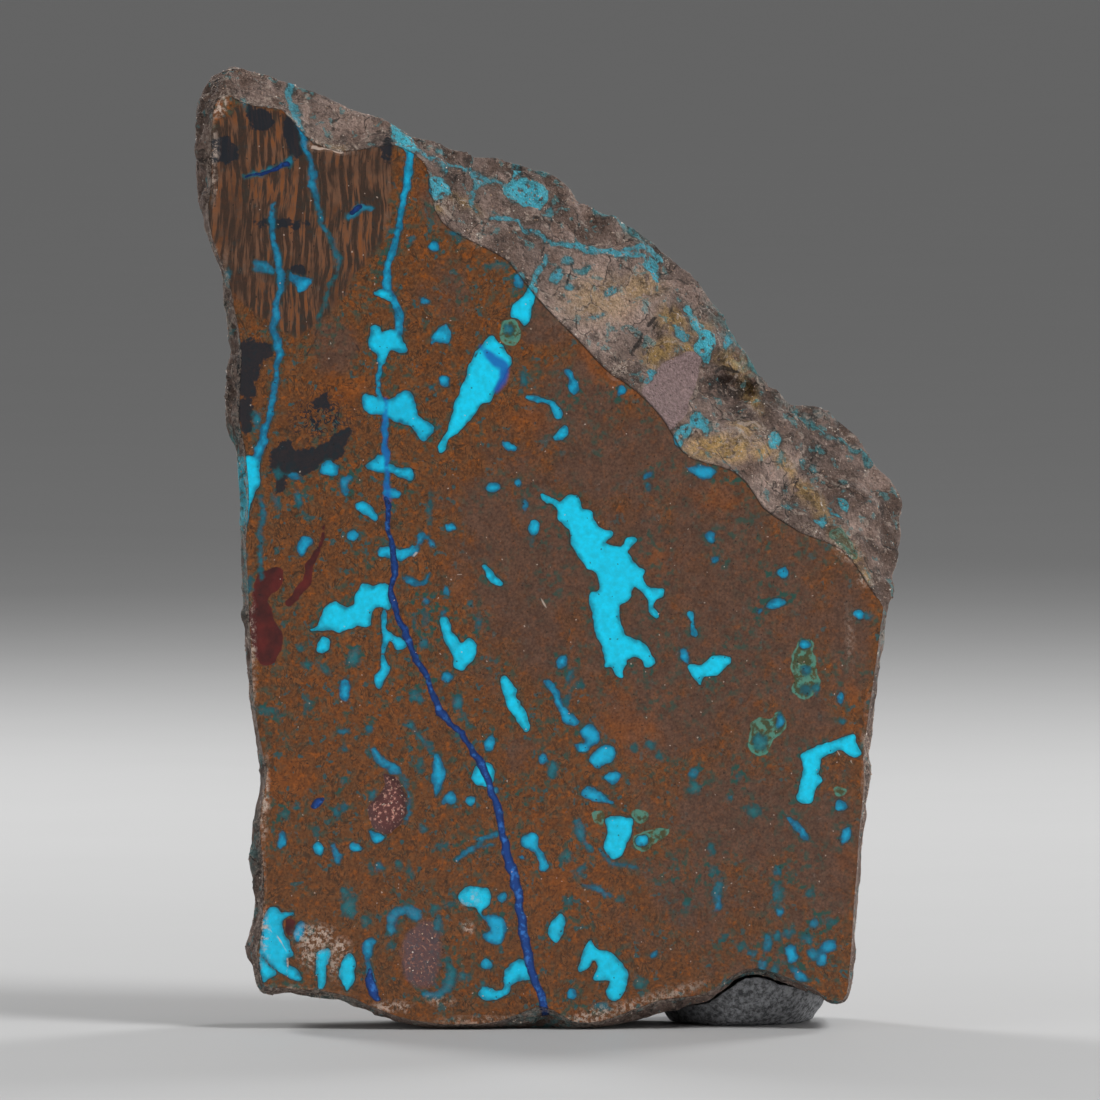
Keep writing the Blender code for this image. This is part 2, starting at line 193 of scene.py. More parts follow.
# Patches: brightness, then the outline.
PATCHES = {
    "head_of_the_main_vein": (0.9, [
        (390, 126), (398, 129), (408, 135), (417, 142), (416, 151), (408, 152), (401, 147), (394, 142)]),
    "side_blob": (0.8, [(374, 292), (384, 289), (393, 292), (395, 300), (386, 301), (378, 297)]),
    "knot": (0.78, [
        (371, 327), (378, 325), (382, 331), (391, 329), (399, 331), (402, 341), (408, 350), (403, 354),
        (393, 351), (387, 357), (384, 364), (378, 363), (376, 354), (369, 348), (370, 337)]),
    "big_left": (0.74, [
        (362, 397), (368, 395), (381, 399), (391, 398), (398, 392), (409, 390), (414, 397), (416, 409),
        (422, 418), (431, 424), (434, 428), (430, 436), (424, 442), (416, 433), (411, 426), (404, 423),
        (394, 424), (390, 420), (382, 414), (372, 415), (365, 411)]),
    "cross_one": (0.72, [
        (365, 467), (374, 458), (384, 454), (389, 463), (398, 467), (410, 468), (414, 473), (411, 480),
        (401, 478), (391, 474), (384, 473), (372, 470)]),
    "cross_two": (0.6, [(383, 491), (391, 488), (402, 493), (399, 497), (388, 498)]),
    "left_of_vein": (0.7, [
        (356, 504), (362, 501), (371, 505), (375, 513), (376, 521), (368, 517), (359, 511)]),
    "cross_three": (0.68, [
        (379, 547), (391, 547), (405, 549), (414, 546), (415, 554), (405, 559), (393, 559), (386, 556),
        (380, 556)]),
    "block": (0.6, [(296, 546), (303, 538), (312, 541), (309, 548), (302, 556), (296, 552)]),
    "under_the_dark": (0.66, [(321, 471), (324, 462), (333, 460), (339, 468), (335, 476), (325, 475)]),
    "crescent": (0.5, [
        (340, 481), (346, 475), (353, 478), (348, 484), (349, 490), (345, 494), (340, 488)]),
    "left_edge": (0.82, [
        (234, 461), (243, 457), (254, 458), (260, 466), (259, 482), (255, 494), (250, 507), (248, 521),
        (243, 533), (238, 520), (238, 497), (235, 476)]),
    "animal": (0.88, [
        (311, 630), (318, 624), (322, 614), (327, 606), (336, 601), (346, 607), (354, 603), (356, 592),
        (362, 585), (373, 587), (381, 583), (390, 587), (390, 600), (388, 609), (380, 607), (372, 613),
        (368, 627), (358, 625), (350, 629), (340, 634), (331, 629)]),
    "branch_down": (0.76, [
        (382, 611), (387, 613), (387, 628), (394, 634), (404, 639), (406, 648), (398, 649), (390, 641),
        (386, 646), (386, 657), (389, 669), (386, 681), (380, 688), (375, 683), (376, 674), (381, 662),
        (382, 645)]),
    "dull_triangle": (0.22, [(344, 664), (350, 651), (356, 647), (360, 657), (358, 665)]),
    "wing": (0.5, [(403, 576), (412, 577), (420, 582), (430, 573), (425, 583), (415, 586), (408, 582)]),
    "bottle": (0.86, [
        (440, 618), (445, 616), (450, 622), (453, 633), (461, 642), (469, 638), (476, 647), (474, 658),
        (467, 667), (461, 672), (455, 667), (453, 655), (447, 645), (442, 632)]),
    "dash": (0.8, [(482, 566), (487, 566), (494, 575), (503, 582), (501, 586), (493, 583), (486, 576)]),
    "slip": (0.62, [(501, 443), (507, 440), (516, 446), (516, 451), (509, 450)]),
    "feather": (0.9, [
        (499, 681), (505, 676), (511, 680), (516, 688), (514, 695), (521, 704), (527, 717), (531, 729),
        (528, 733), (520, 726), (513, 716), (507, 706), (504, 694)]),
    "dull_strip": (0.28, [
        (404, 724), (413, 723), (420, 733), (430, 741), (434, 746), (430, 753), (425, 746), (418, 737),
        (410, 729)]),
    "drop_upper": (0.6, [
        (433, 757), (438, 754), (442, 762), (446, 773), (443, 784), (439, 792), (435, 797), (433, 785),
        (432, 771)]),
    "drop_lower": (0.55, [(441, 802), (443, 797), (451, 793), (457, 798), (455, 803), (447, 804)]),
    "at_the_blue_vein": (0.82, [
        (472, 780), (474, 772), (483, 764), (492, 766), (495, 777), (490, 785), (478, 787)]),
    "geode_top": (0.5, [
        (368, 750), (374, 748), (381, 754), (389, 762), (398, 767), (402, 775), (395, 774), (385, 769),
        (377, 764), (373, 757)]),
    "geode_bottom": (0.66, [(369, 831), (378, 832), (385, 836), (380, 843), (373, 841)]),
    "slim_left": (0.55, [(277, 845), (279, 832), (285, 830), (285, 842), (281, 851)]),
    "small_left": (0.52, [(330, 847), (335, 845), (337, 853), (342, 857), (339, 865), (333, 860)]),
    "mushroom": (0.82, [
        (457, 897), (462, 891), (473, 887), (484, 888), (491, 894), (490, 903), (484, 910), (480, 914),
        (474, 908), (463, 904)]),
    "hook_ring": (0.6, [
        (479, 913), (485, 917), (495, 916), (503, 920), (507, 930), (503, 941), (496, 946), (487, 942),
        (483, 936), (490, 930), (486, 923)]),
    "c_shape": (0.42, [
        (387, 933), (386, 920), (392, 911), (403, 906), (414, 908), (422, 913), (420, 920), (411, 919),
        (404, 915), (398, 919), (396, 930), (391, 937)]),
    "beside_the_blue_foot": (0.78, [
        (507, 969), (513, 963), (520, 961), (528, 968), (530, 979), (519, 981), (512, 987), (508, 995),
        (498, 999), (486, 1001), (479, 994), (484, 987), (497, 991), (503, 989), (503, 979)]),
    "corner_big": (0.76, [
        (267, 911), (274, 909), (282, 913), (293, 914), (292, 917), (284, 919), (281, 924), (284, 932),
        (288, 941), (291, 949), (293, 956), (286, 959), (288, 967), (296, 971), (302, 979), (298, 983),
        (288, 978), (279, 973), (272, 967), (266, 961), (258, 955), (261, 946), (261, 933)]),
    "corner_low": (0.82, [
        (258, 957), (264, 962), (272, 969), (276, 975), (268, 981), (264, 984), (260, 975)]),
    "corner_oval": (0.6, [
        (294, 929), (299, 923), (304, 924), (305, 932), (300, 941), (296, 943), (293, 936)]),
    "tooth_one": (0.84, [
        (316, 956), (323, 949), (330, 950), (329, 960), (326, 970), (326, 982), (323, 990), (318, 987),
        (316, 976)]),
    "tooth_two": (0.84, [
        (342, 961), (348, 954), (354, 958), (355, 968), (355, 979), (351, 988), (347, 992), (342, 985),
        (339, 974)]),
    "blue_tooth": (0.58, [
        (362, 943), (368, 940), (375, 941), (371, 950), (370, 961), (373, 973), (375, 982), (366, 979),
        (366, 966), (364, 955)]),
    "striped_quad": (0.42, [(254, 260), (272, 266), (274, 274), (262, 272), (253, 268)]),
    "striped_kite": (0.56, [
        (290, 271), (299, 277), (312, 279), (309, 288), (301, 292), (295, 285), (291, 279)]),
    "striped_bird": (0.4, [
        (345, 217), (350, 210), (356, 206), (364, 203), (374, 207), (371, 211), (362, 211), (354, 218),
        (347, 220)]),
    "island": (1.0, [
        (540, 494), (550, 497), (559, 502), (564, 498), (571, 494), (577, 495), (580, 502), (582, 508),
        (591, 510), (594, 519), (600, 527), (612, 531), (613, 536), (605, 542), (612, 545), (622, 544),
        (628, 538), (636, 540), (631, 548), (628, 553), (633, 561), (639, 567), (645, 570), (643, 579),
        (648, 587), (656, 589), (664, 589), (665, 597), (656, 601), (653, 606), (659, 614), (656, 618),
        (650, 612), (648, 601), (641, 591), (633, 587), (630, 598), (621, 604), (619, 613), (622, 625),
        (626, 637), (636, 641), (645, 646), (652, 653), (655, 661), (652, 668), (646, 668), (641, 660),
        (634, 657), (627, 661), (624, 668), (624, 677), (616, 676), (612, 669), (605, 668), (604, 655),
        (598, 638), (593, 623), (592, 611), (589, 602), (592, 591), (599, 589), (598, 574), (587, 568),
        (579, 555), (571, 543), (569, 528), (558, 519), (557, 509), (553, 504), (545, 502)]),
    "island_foot": (0.97, [
        (688, 666), (695, 664), (702, 665), (708, 658), (717, 655), (730, 656), (731, 662), (724, 669),
        (718, 675), (709, 676), (703, 678), (700, 686), (696, 682), (691, 674)]),
    "island_dash": (0.7, [(688, 613), (693, 613), (695, 625), (697, 635), (692, 636), (690, 625)]),
    "chain_one": (0.6, [
        (542, 681), (550, 681), (557, 691), (561, 703), (570, 713), (578, 721), (574, 727), (566, 724),
        (559, 714), (554, 700), (548, 689)]),
    "chain_two": (0.6, [
        (580, 733), (586, 725), (594, 727), (601, 735), (599, 744), (591, 746), (587, 752), (579, 752),
        (576, 745), (584, 741)]),
    "chain_three": (0.66, [
        (590, 757), (598, 750), (607, 745), (614, 748), (614, 758), (606, 764), (597, 767), (590, 763)]),
    "chain_four": (0.62, [(604, 779), (612, 771), (620, 773), (620, 780), (613, 785)]),
    "chain_five": (0.62, [
        (581, 793), (587, 787), (596, 791), (605, 797), (614, 802), (610, 805), (597, 802), (586, 799)]),
    "square": (0.84, [
        (607, 826), (607, 819), (620, 817), (633, 818), (632, 831), (628, 843), (624, 855), (617, 859),
        (609, 855), (605, 845)]),
    "exclamation": (0.32, [
        (574, 822), (580, 819), (585, 828), (587, 841), (594, 851), (590, 854), (583, 843), (576, 835)]),
    "cluster": (0.66, [
        (521, 842), (529, 833), (538, 836), (537, 845), (543, 855), (548, 867), (543, 872), (539, 870),
        (537, 857), (530, 850)]),
    "worm": (0.4, [(582, 885), (593, 884), (605, 890), (611, 896), (604, 896), (592, 891)]),
    "leaf": (0.78, [(548, 931), (553, 920), (563, 912), (565, 923), (563, 935), (557, 943), (551, 941)]),
    "bottom_hook": (0.86, [
        (580, 960), (584, 950), (591, 940), (598, 950), (610, 954), (621, 962), (629, 974), (625, 987),
        (619, 1000), (611, 1001), (607, 991), (609, 983), (600, 981), (593, 980), (598, 971), (597, 965),
        (592, 963), (587, 969), (580, 971)]),
    "bracket": (0.96, [
        (800, 758), (803, 752), (811, 748), (826, 744), (840, 739), (854, 736), (858, 744), (860, 755),
        (852, 756), (840, 751), (831, 753), (823, 759), (819, 768), (818, 775), (823, 782), (817, 787),
        (814, 797), (807, 805), (800, 804), (796, 798), (800, 788), (803, 775), (803, 766)]),
    "right_dash": (0.55, [
        (787, 817), (793, 819), (802, 828), (808, 837), (809, 842), (804, 841), (796, 833), (790, 825)]),
    "right_blot": (0.5, [
        (687, 468), (695, 464), (707, 465), (716, 471), (710, 478), (701, 480), (694, 474)]),
    "small_slip": (0.72, [(553, 439), (557, 431), (565, 424), (569, 430), (563, 438)]),
    "moustache": (0.7, [
        (525, 399), (536, 395), (546, 399), (557, 404), (562, 411), (559, 418), (553, 416), (549, 406),
        (539, 402)]),
    "thorn": (0.62, [(564, 370), (570, 370), (573, 378), (579, 385), (576, 394), (571, 393), (568, 383)]),
    "teardrop_top": (0.88, [
        (530, 288), (536, 290), (532, 304), (530, 318), (524, 325), (517, 319), (510, 317), (514, 304),
        (523, 296)]),
    "teardrop": (0.94, [
        (483, 343), (492, 337), (500, 342), (506, 352), (512, 362), (506, 372), (500, 384), (493, 397),
        (480, 407), (471, 418), (463, 429), (451, 439), (444, 449), (439, 453), (438, 448), (444, 436),
        (449, 421), (454, 407), (461, 389), (467, 372), (473, 355)]),
    "small_hook": (0.66, [
        (430, 345), (432, 336), (439, 329), (448, 325), (451, 333), (449, 344), (440, 343), (435, 342)]),
    "socket_patch": (0.7, [
        (430, 181), (435, 177), (446, 180), (451, 187), (447, 195), (436, 201), (431, 196), (428, 189)]),
    "socket_strip": (0.5, [
        (470, 175), (477, 178), (487, 178), (486, 183), (479, 187), (475, 196), (475, 206), (476, 215),
        (472, 213), (469, 203), (471, 190)]),
    "shoulder_patch": (0.8, [
        (504, 186), (510, 183), (513, 174), (512, 168), (519, 169), (522, 178), (530, 183), (539, 186),
        (548, 192), (547, 201), (538, 207), (525, 209), (513, 204), (506, 200), (503, 192)]),
    "shoulder_low": (0.72, [
        (640, 266), (650, 265), (658, 269), (661, 277), (659, 283), (654, 283), (651, 277), (645, 270)]),
    "slope_streak": (0.86, [
        (687, 308), (692, 306), (696, 315), (700, 323), (705, 330), (712, 339), (714, 347), (711, 355),
        (713, 363), (711, 368), (706, 365), (701, 358), (697, 350), (700, 341), (697, 333), (692, 326),
        (690, 318)]),
    "slope_pale": (0.5, [
        (673, 326), (680, 327), (687, 333), (693, 333), (691, 339), (685, 343), (680, 338), (676, 333)]),
    "facet_dash": (0.6, [(643, 381), (647, 373), (653, 368), (657, 373), (652, 379), (647, 384)]),
    "ledge_patch": (0.72, [
        (673, 437), (676, 433), (683, 427), (690, 424), (690, 416), (695, 412), (702, 417), (709, 420),
        (711, 429), (707, 437), (702, 433), (697, 428), (692, 430), (687, 437), (682, 441), (681, 447),
        (676, 446)]),
    "right_fleck": (0.84, [(837, 498), (842, 502), (848, 507), (851, 513), (845, 513), (840, 507)]),
}

# Spots: brightness, x, y, half width, half height and turn in degrees.
SPOTS = [
    (0.6, 353, 536, 5.5, 6, 0), (0.6, 450, 527, 4.5, 3.6, 0), (0.25, 278, 473, 6, 4, -30),
    (0.5, 295, 476, 6, 4, -30), (0.3, 298, 499, 4, 8, 10), (0.3, 276, 501, 3, 8, 10),
    (0.84, 323, 645, 7, 9, -15), (0.6, 345, 691, 5.5, 12, 0), (0.2, 299, 648, 4, 4, 0),
    (0.2, 325, 670, 6, 2.6, -45), (0.6, 447, 677, 6, 4.5, 20), (0.66, 493, 487, 7, 4.6, 10),
    (0.55, 519, 483, 4, 4, 0), (0.72, 534, 528, 6.5, 7, 0), (0.5, 524, 505, 3, 5, 0),
    (0.45, 446, 591, 3, 5, 10), (0.5, 426, 600, 4, 3.4, 0), (0.25, 430, 511, 2.4, 13, 0),
    (0.2, 415, 621, 3, 7, 0), (0.26, 426, 618, 2.6, 8, 5), (0.3, 478, 623, 3, 6, 0),
    (0.4, 443, 614, 3, 3, 0), (0.3, 424, 645, 4, 5, 0), (0.26, 416, 696, 6, 5, 0),
    (0.62, 490, 743, 5, 7, -20), (0.3, 422, 828, 4, 4, 0), (0.7, 470, 802, 5, 5.5, 0),
    (0.5, 495, 791, 4, 4, 0), (0.25, 441, 846, 7, 2.4, 15), (0.3, 372, 796, 3, 5, -20),
    (0.3, 337, 814, 3, 5, 0), (0.36, 344, 808, 3, 4, 0), (0.25, 296, 807, 4, 3.4, 0),
    (0.7, 318, 849, 5, 6, 0), (0.2, 316, 832, 3, 5, 0), (0.66, 356, 847, 6, 4, -15),
    (0.35, 379, 868, 4, 4, 0), (0.16, 399, 866, 3.6, 5, 0), (0.2, 411, 873, 3, 7, 5),
    (0.22, 344, 894, 5, 6, -20), (0.22, 349, 906, 6, 12, -20), (0.22, 353, 914, 5, 6, 0),
    (0.2, 366, 923, 5, 6, 0), (0.4, 344, 732, 5, 3, 10), (0.36, 368, 730, 4, 5, 0),
    (0.3, 344, 749, 3.4, 2.6, 0), (0.2, 342, 782, 3, 4, 0), (0.16, 270, 712, 11, 4, -12),
    (0.2, 307, 704, 3.4, 8, 0), (0.6, 542, 759, 4, 5, 0), (0.28, 553, 769, 5, 8, -15),
    (0.62, 503, 898, 5, 5, 0), (0.3, 438, 924, 4.5, 9, 0), (0.2, 436, 909, 5, 3.6, 0),
    (0.66, 487, 965, 6, 5, 0), (0.25, 462, 977, 7, 5, 0), (0.2, 567, 858, 5, 7, 0),
    (0.6, 522, 857, 3.4, 3, 0), (0.6, 572, 995, 5, 5, 0), (0.3, 601, 1007, 9, 3.6, -18),
    (0.14, 639, 983, 7, 6, 0), (0.5, 655, 955, 4, 3.4, 30), (0.6, 562, 663, 6.5, 4.6, 20),
    (0.3, 571, 677, 3, 7, -15), (0.6, 685, 656, 4, 8, 15), (0.66, 842, 807, 6, 5, 0),
    (0.6, 846, 836, 4.6, 8, -8), (0.6, 840, 698, 4, 6, 10), (0.66, 783, 573, 6, 5, 0),
    (0.66, 775, 604, 10, 5, 12), (0.5, 759, 611, 3, 3, 0), (0.55, 710, 536, 5, 5, 0),
    (0.5, 715, 559, 4, 3, 0), (0.5, 648, 475, 5, 3.4, 40), (0.34, 649, 487, 3, 4, 0),
    (0.6, 621, 391, 4, 4.6, 30), (0.6, 434, 246, 4.6, 6, -20), (0.3, 412, 240, 3, 3.6, 0),
    (0.55, 424, 301, 5, 3.4, -25), (0.6, 445, 382, 5.5, 5.5, 0), (0.3, 431, 387, 3, 3, 0),
    (0.16, 497, 265, 11, 3.4, 0), (0.5, 519, 280, 5, 8, -15), (0.26, 523, 382, 3, 7, 5),
    (0.4, 551, 213, 5, 6, 0), (0.6, 558, 275, 5.5, 6, 0), (0.45, 568, 262, 6, 5, 0),
    (0.36, 583, 271, 9, 3.6, 8), (0.5, 569, 286, 5, 4, 0), (0.5, 612, 292, 5, 4, 0),
    (0.45, 595, 318, 7, 2.8, 10), (0.62, 727, 346, 4, 7, -30), (0.86, 775, 441, 6, 8.5, 0),
    (0.7, 821, 522, 6, 5, 0), (0.3, 789, 505, 6, 5, 0), (0.66, 859, 615, 5, 5, 0),
    (0.3, 868, 616, 5, 3, 0), (0.3, 717, 893, 4, 15, -14), (0.5, 718, 904, 3.4, 8, -14),
    (0.2, 712, 872, 4, 5, 0), (0.3, 777, 892, 3.6, 8, -5), (0.16, 780, 900, 4, 14, -5),
    (0.5, 780, 913, 4, 4.6, 0), (0.35, 777, 873, 4, 3, 0), (0.55, 791, 955, 7, 9, 0),
    (0.4, 767, 945, 4, 9, -10), (0.3, 777, 937, 4, 5, 0), (0.3, 788, 935, 7, 4, 0),
    (0.42, 815, 925, 4, 5, 0), (0.5, 828, 948, 9, 6, 35), (0.5, 822, 960, 6, 7, 0),
    (0.4, 813, 955, 6, 6, 0), (0.3, 808, 940, 6, 4, -30), (0.4, 795, 971, 5, 3, -20),
    (0.5, 800, 977, 8, 4, -30), (0.4, 763, 967, 4, 5, 0), (0.3, 775, 970, 4, 6, -20),
    (0.2, 741, 948, 5, 4, 0), (0.36, 753, 954, 5, 3, 0), (0.2, 724, 937, 5, 3.6, 30),
    (0.3, 727, 985, 5, 4, 0), (0.2, 832, 923, 4, 4, 0), (0.36, 693, 773, 4.6, 5, -20),
    (0.16, 695, 788, 6, 6, 0), (0.24, 650, 745, 5, 5, -30), (0.2, 660, 757, 3, 4, 0),
    (0.2, 739, 777, 3, 4, 0), (0.16, 754, 811, 8, 6, 0), (0.3, 730, 797, 3, 3, 0),
    (0.3, 843, 722, 2.6, 3, 0), (0.16, 687, 907, 3, 4, 0), (0.18, 619, 900, 5, 4, 0),
    (0.24, 711, 851, 4, 5, 0), (0.26, 776, 870, 3.6, 3, 0), (0.24, 810, 894, 4, 4, 0),
    (0.2, 835, 1006, 4, 3, 0), (0.14, 634, 748, 4, 4, 0), (0.14, 580, 686, 3.6, 3.6, 0),
    (0.28, 567, 700, 3, 7, -20), (0.2, 575, 874, 3, 3, 0), (0.3, 582, 870, 3, 6, -35),
    (0.24, 569, 902, 4, 3, 0), (0.3, 420, 700, 4, 4, 0), (0.3, 457, 703, 5, 7, 10),
    (0.18, 464, 717, 4, 4, 0), (0.2, 458, 735, 3, 6, 0), (0.2, 421, 765, 3, 6, 0),
    (0.2, 512, 689, 3, 3, 0), (0.16, 307, 666, 5, 4, 0), (0.14, 284, 815, 6, 4, 0),
    (0.2, 372, 869, 3, 3, 0), (0.24, 450, 905, 4, 3, 0), (0.24, 391, 947, 4, 3, 0),
    (0.3, 245, 555, 2.4, 5, 0), (0.3, 249, 585, 3, 8, 0), (0.2, 482, 985, 3, 3, 0),
    (0.3, 227, 276, 3, 7, -15), (0.3, 244, 103, 3, 5, 15), (0.3, 256, 420, 4, 8, 10),
    (0.2, 460, 240, 3.4, 3, 0), (0.26, 532, 540, 2, 4, 0), (0.24, 471, 604, 3, 4, 0),
    (0.2, 391, 230, 4, 4, 0), (0.36, 454, 234, 5, 2, -15), (0.36, 441, 153, 4, 2.6, -15),
    (0.4, 516, 166, 4, 5, 0), (0.3, 545, 174, 7, 3, -10), (0.3, 816, 470, 3, 5, 0),
    (0.3, 804, 463, 4, 4, 0), (0.4, 833, 415, 4, 3, 30), (0.3, 781, 458, 3, 6, 0)]

# The blue vein that runs through the slab, and other deep blue stone
BLUE_VEINS = {
    "main": [
        (387, 498, 1.6), (388, 506, 2.6), (387, 516, 3.2), (387, 524, 2.6), (389, 531, 2.6),
        (391, 541, 2.8), (393, 553, 3.2), (394, 565, 3.0), (394, 577, 3.0), (391, 589, 2.8),
        (392, 601, 3.2), (397, 613, 3.2), (403, 628, 3.2), (408, 642, 3.4), (416, 659, 3.0),
        (425, 674, 3.0), (432, 691, 3.0), (440, 712, 3.4), (449, 724, 3.2), (462, 734, 2.8),
        (471, 749, 3.2), (480, 763, 3.6), (488, 780, 3.8), (493, 797, 3.6), (500, 816, 3.8),
        (503, 836, 4.2), (507, 855, 4.6), (513, 874, 4.6), (518, 894, 4.6), (520, 913, 4.4),
        (523, 933, 4.6), (527, 952, 4.6), (529, 967, 4.4), (534, 979, 4.2), (539, 991, 4.0),
        (543, 1003, 4.4), (546, 1014, 5.0)],
    "blue_tooth_foot": [(370, 972, 2.6), (369, 982, 4.6), (373, 992, 4.8), (378, 1000, 3.4)],
    "small": [(315, 807, 3.6), (319, 801, 4.4), (323, 799, 2.0)],
    "dash_in_the_stripes": [(246, 176, 1.0), (262, 174, 1.6), (288, 164, 2.6)],
    "in_the_bird": [(350, 213, 2.4), (361, 207, 2.6)],
}
TEARDROP_BAND = [
    (481, 346, 2.0), (488, 354, 4.6), (496, 361, 5.0), (504, 366, 5.4), (503, 378, 5.0), (497, 390, 3.4)]
BLUE_THREAD = [
    (386, 398, 1.6), (385, 414, 2.2), (385, 432, 2.0), (386, 456, 2.2), (387, 478, 2.2), (388, 500, 2.4)]

GREEN_OVALS = [
    [
        (751, 724), (758, 718), (769, 718), (776, 713), (784, 715), (787, 727), (780, 736), (773, 742),
        (768, 752), (759, 756), (751, 752), (748, 743)],
    [
        (793, 652), (797, 642), (807, 639), (815, 641), (813, 650), (817, 659), (817, 671), (820, 683),
        (816, 693), (806, 699), (797, 697), (791, 690), (794, 679), (790, 666)],
    [(503, 321), (512, 319), (520, 326), (520, 337), (514, 345), (505, 344), (500, 335)],
    [
        (829, 530), (835, 528), (842, 532), (850, 541), (857, 550), (859, 558), (855, 561), (846, 553),
        (837, 545), (831, 538)],
    [(633, 838), (642, 832), (655, 828), (668, 828), (664, 838), (653, 845), (645, 852), (636, 849)],
    [(592, 814), (602, 812), (606, 818), (603, 825), (595, 822)],
    [(632, 812), (646, 812), (648, 819), (638, 823)],
    [(834, 788), (847, 790), (846, 797), (836, 798)],
]
GREEN_SPOTS = [
    (0.66, 805, 645, 6, 4.4, 0), (0.7, 642, 841, 6, 6, 0), (0.34, 806, 671, 5, 5, 0),
    (0.3, 806, 690, 7, 5, 0), (0.5, 780, 722, 4.4, 7, -10), (0.26, 760, 742, 7, 8, 0),
    (0.32, 509, 330, 5, 6, 0), (0.3, 816, 688, 4, 5, 0)]

RED_STONE = [
    [
        (258, 572), (266, 571), (274, 566), (284, 571), (284, 584), (277, 591), (268, 600), (273, 613),
        (276, 624), (283, 635), (280, 650), (273, 663), (262, 665), (254, 652), (250, 633), (249, 613),
        (251, 601)],
    [
        (301, 579), (306, 567), (311, 566), (312, 579), (307, 591), (299, 597), (291, 607), (285, 602),
        (290, 597)],
    [(285, 920), (294, 924), (292, 936), (287, 934)],
]
RED_VEINS = [[(324, 526, 2.0), (323, 538, 2.0), (316, 553, 2.4), (309, 567, 4.0)]]

GRANULAR_STONE = [
    [
        (384, 773), (393, 774), (400, 782), (404, 793), (408, 806), (404, 820), (396, 830), (386, 833),
        (375, 829), (369, 819), (369, 806), (377, 797), (384, 788), (385, 780)],
]
PURPLE_STONE = [
    [
        (415, 925), (427, 920), (437, 930), (441, 945), (439, 965), (436, 981), (425, 988), (411, 985),
        (403, 972), (402, 953), (406, 937)],
]

# Dark blue-black stone, and the cracks, whose darkness is painted shade
DARK_STONE = [
    [(213, 139), (224, 134), (232, 143), (239, 158), (231, 162), (213, 161)],
    [(246, 110), (262, 108), (274, 116), (270, 128), (258, 131), (248, 122)],
    [(284, 120), (294, 118), (301, 134), (303, 152), (296, 158), (288, 144)],
    [
        (241, 343), (256, 340), (273, 345), (274, 354), (262, 361), (256, 380), (253, 398), (240, 396),
        (237, 366)],
    [(238, 400), (251, 398), (252, 412), (247, 432), (240, 428)],
    [
        (269, 463), (277, 446), (284, 438), (291, 442), (296, 449), (308, 451), (318, 446), (327, 444),
        (337, 434), (349, 430), (346, 447), (337, 460), (323, 463), (309, 473), (292, 476), (283, 491),
        (276, 490), (276, 476)],
    [(316, 398), (324, 393), (331, 400), (326, 409), (317, 407)],
    [(247, 222), (262, 219), (283, 219), (300, 222), (310, 226), (294, 229), (276, 227), (258, 226)],
    [(390, 135), (393, 149), (391, 165), (385, 160), (383, 143)],
    [(286, 268), (296, 265), (308, 270), (300, 276), (290, 272)],
]
CRACKS = [
    [(640, 337, 1.6), (637, 347, 2.2), (633, 358, 1.4)],
    [(646, 327, 2.0), (655, 321, 2.2)],
    [(574, 262, 1.6), (571, 272, 2.0), (567, 284, 1.2)],
    [(713, 376, 1.6), (726, 371, 2.0), (740, 377, 1.4)],
    [(766, 515, 1.0), (774, 510, 1.8), (784, 506, 1.2)],
    [(320, 318, 1.0), (314, 342, 1.4), (306, 356, 1.0)],
    [(348, 315, 0.9), (340, 336, 1.1), (330, 348, 1.2)],
    [(354, 336, 0.9), (359, 350, 1.3), (361, 360, 1.0)],
    [(484, 345, 0.8), (474, 356, 0.8)],
    [(548, 230, 1.6), (552, 222, 1.4)],
    [(541, 258, 1.4), (546, 247, 1.6)],
    [(499, 347, 1.0), (509, 350, 1.4), (514, 356, 0.8)],
]
STRIPED_STONE = [
    (211, 134), (226, 118), (242, 104), (268, 108), (294, 116), (312, 140), (332, 150), (360, 148),
    (391, 138), (393, 160), (392, 185), (389, 210), (381, 240), (368, 262), (350, 285), (335, 305),
    (315, 325), (300, 334), (285, 333), (262, 320), (240, 302), (228, 290), (221, 270), (214, 248),
    (208, 232), (204, 212), (210, 190)]
SQUIGGLE_AREA = [(1.0, 322, 419, 30, 24, 0)]

# Soft areas: weight, x, y, half width, half height and turn in degrees
MAUVE_AREAS = [
    (0.72, 700, 610, 170, 190, 0), (0.5, 730, 850, 150, 150, 0), (0.7, 520, 560, 90, 130, 0),
    (0.7, 590, 420, 90, 70, -35), (0.9, 470, 214, 62, 24, -20), (0.55, 440, 290, 30, 40, 0),
    (0.9, 548, 322, 34, 30, -45), (0.9, 590, 392, 42, 26, -40), (0.9, 650, 452, 56, 36, -35),
    (0.8, 600, 470, 60, 34, 0), (0.9, 488, 520, 34, 54, 20), (0.8, 540, 640, 34, 60, 0),
    (0.7, 700, 500, 60, 40, 0), (0.8, 760, 560, 60, 40, 0), (0.6, 700, 590, 46, 40, 0),
    (0.8, 720, 640, 70, 46, 0), (0.8, 660, 720, 60, 50, 0), (0.7, 800, 730, 50, 60, 0),
    (0.9, 740, 820, 76, 50, 0), (0.8, 830, 850, 40, 90, 0), (0.7, 700, 900, 40, 60, 0),
    (0.8, 850, 640, 26, 70, 0), (0.6, 640, 640, 26, 60, 0), (0.5, 760, 960, 60, 40, 0),
    (0.8, 334, 345, 26, 36, 20), (0.5, 520, 760, 20, 40, 0), (0.7, 690, 555, 30, 30, 0),
    (0.5, 560, 560, 26, 50, 0)]
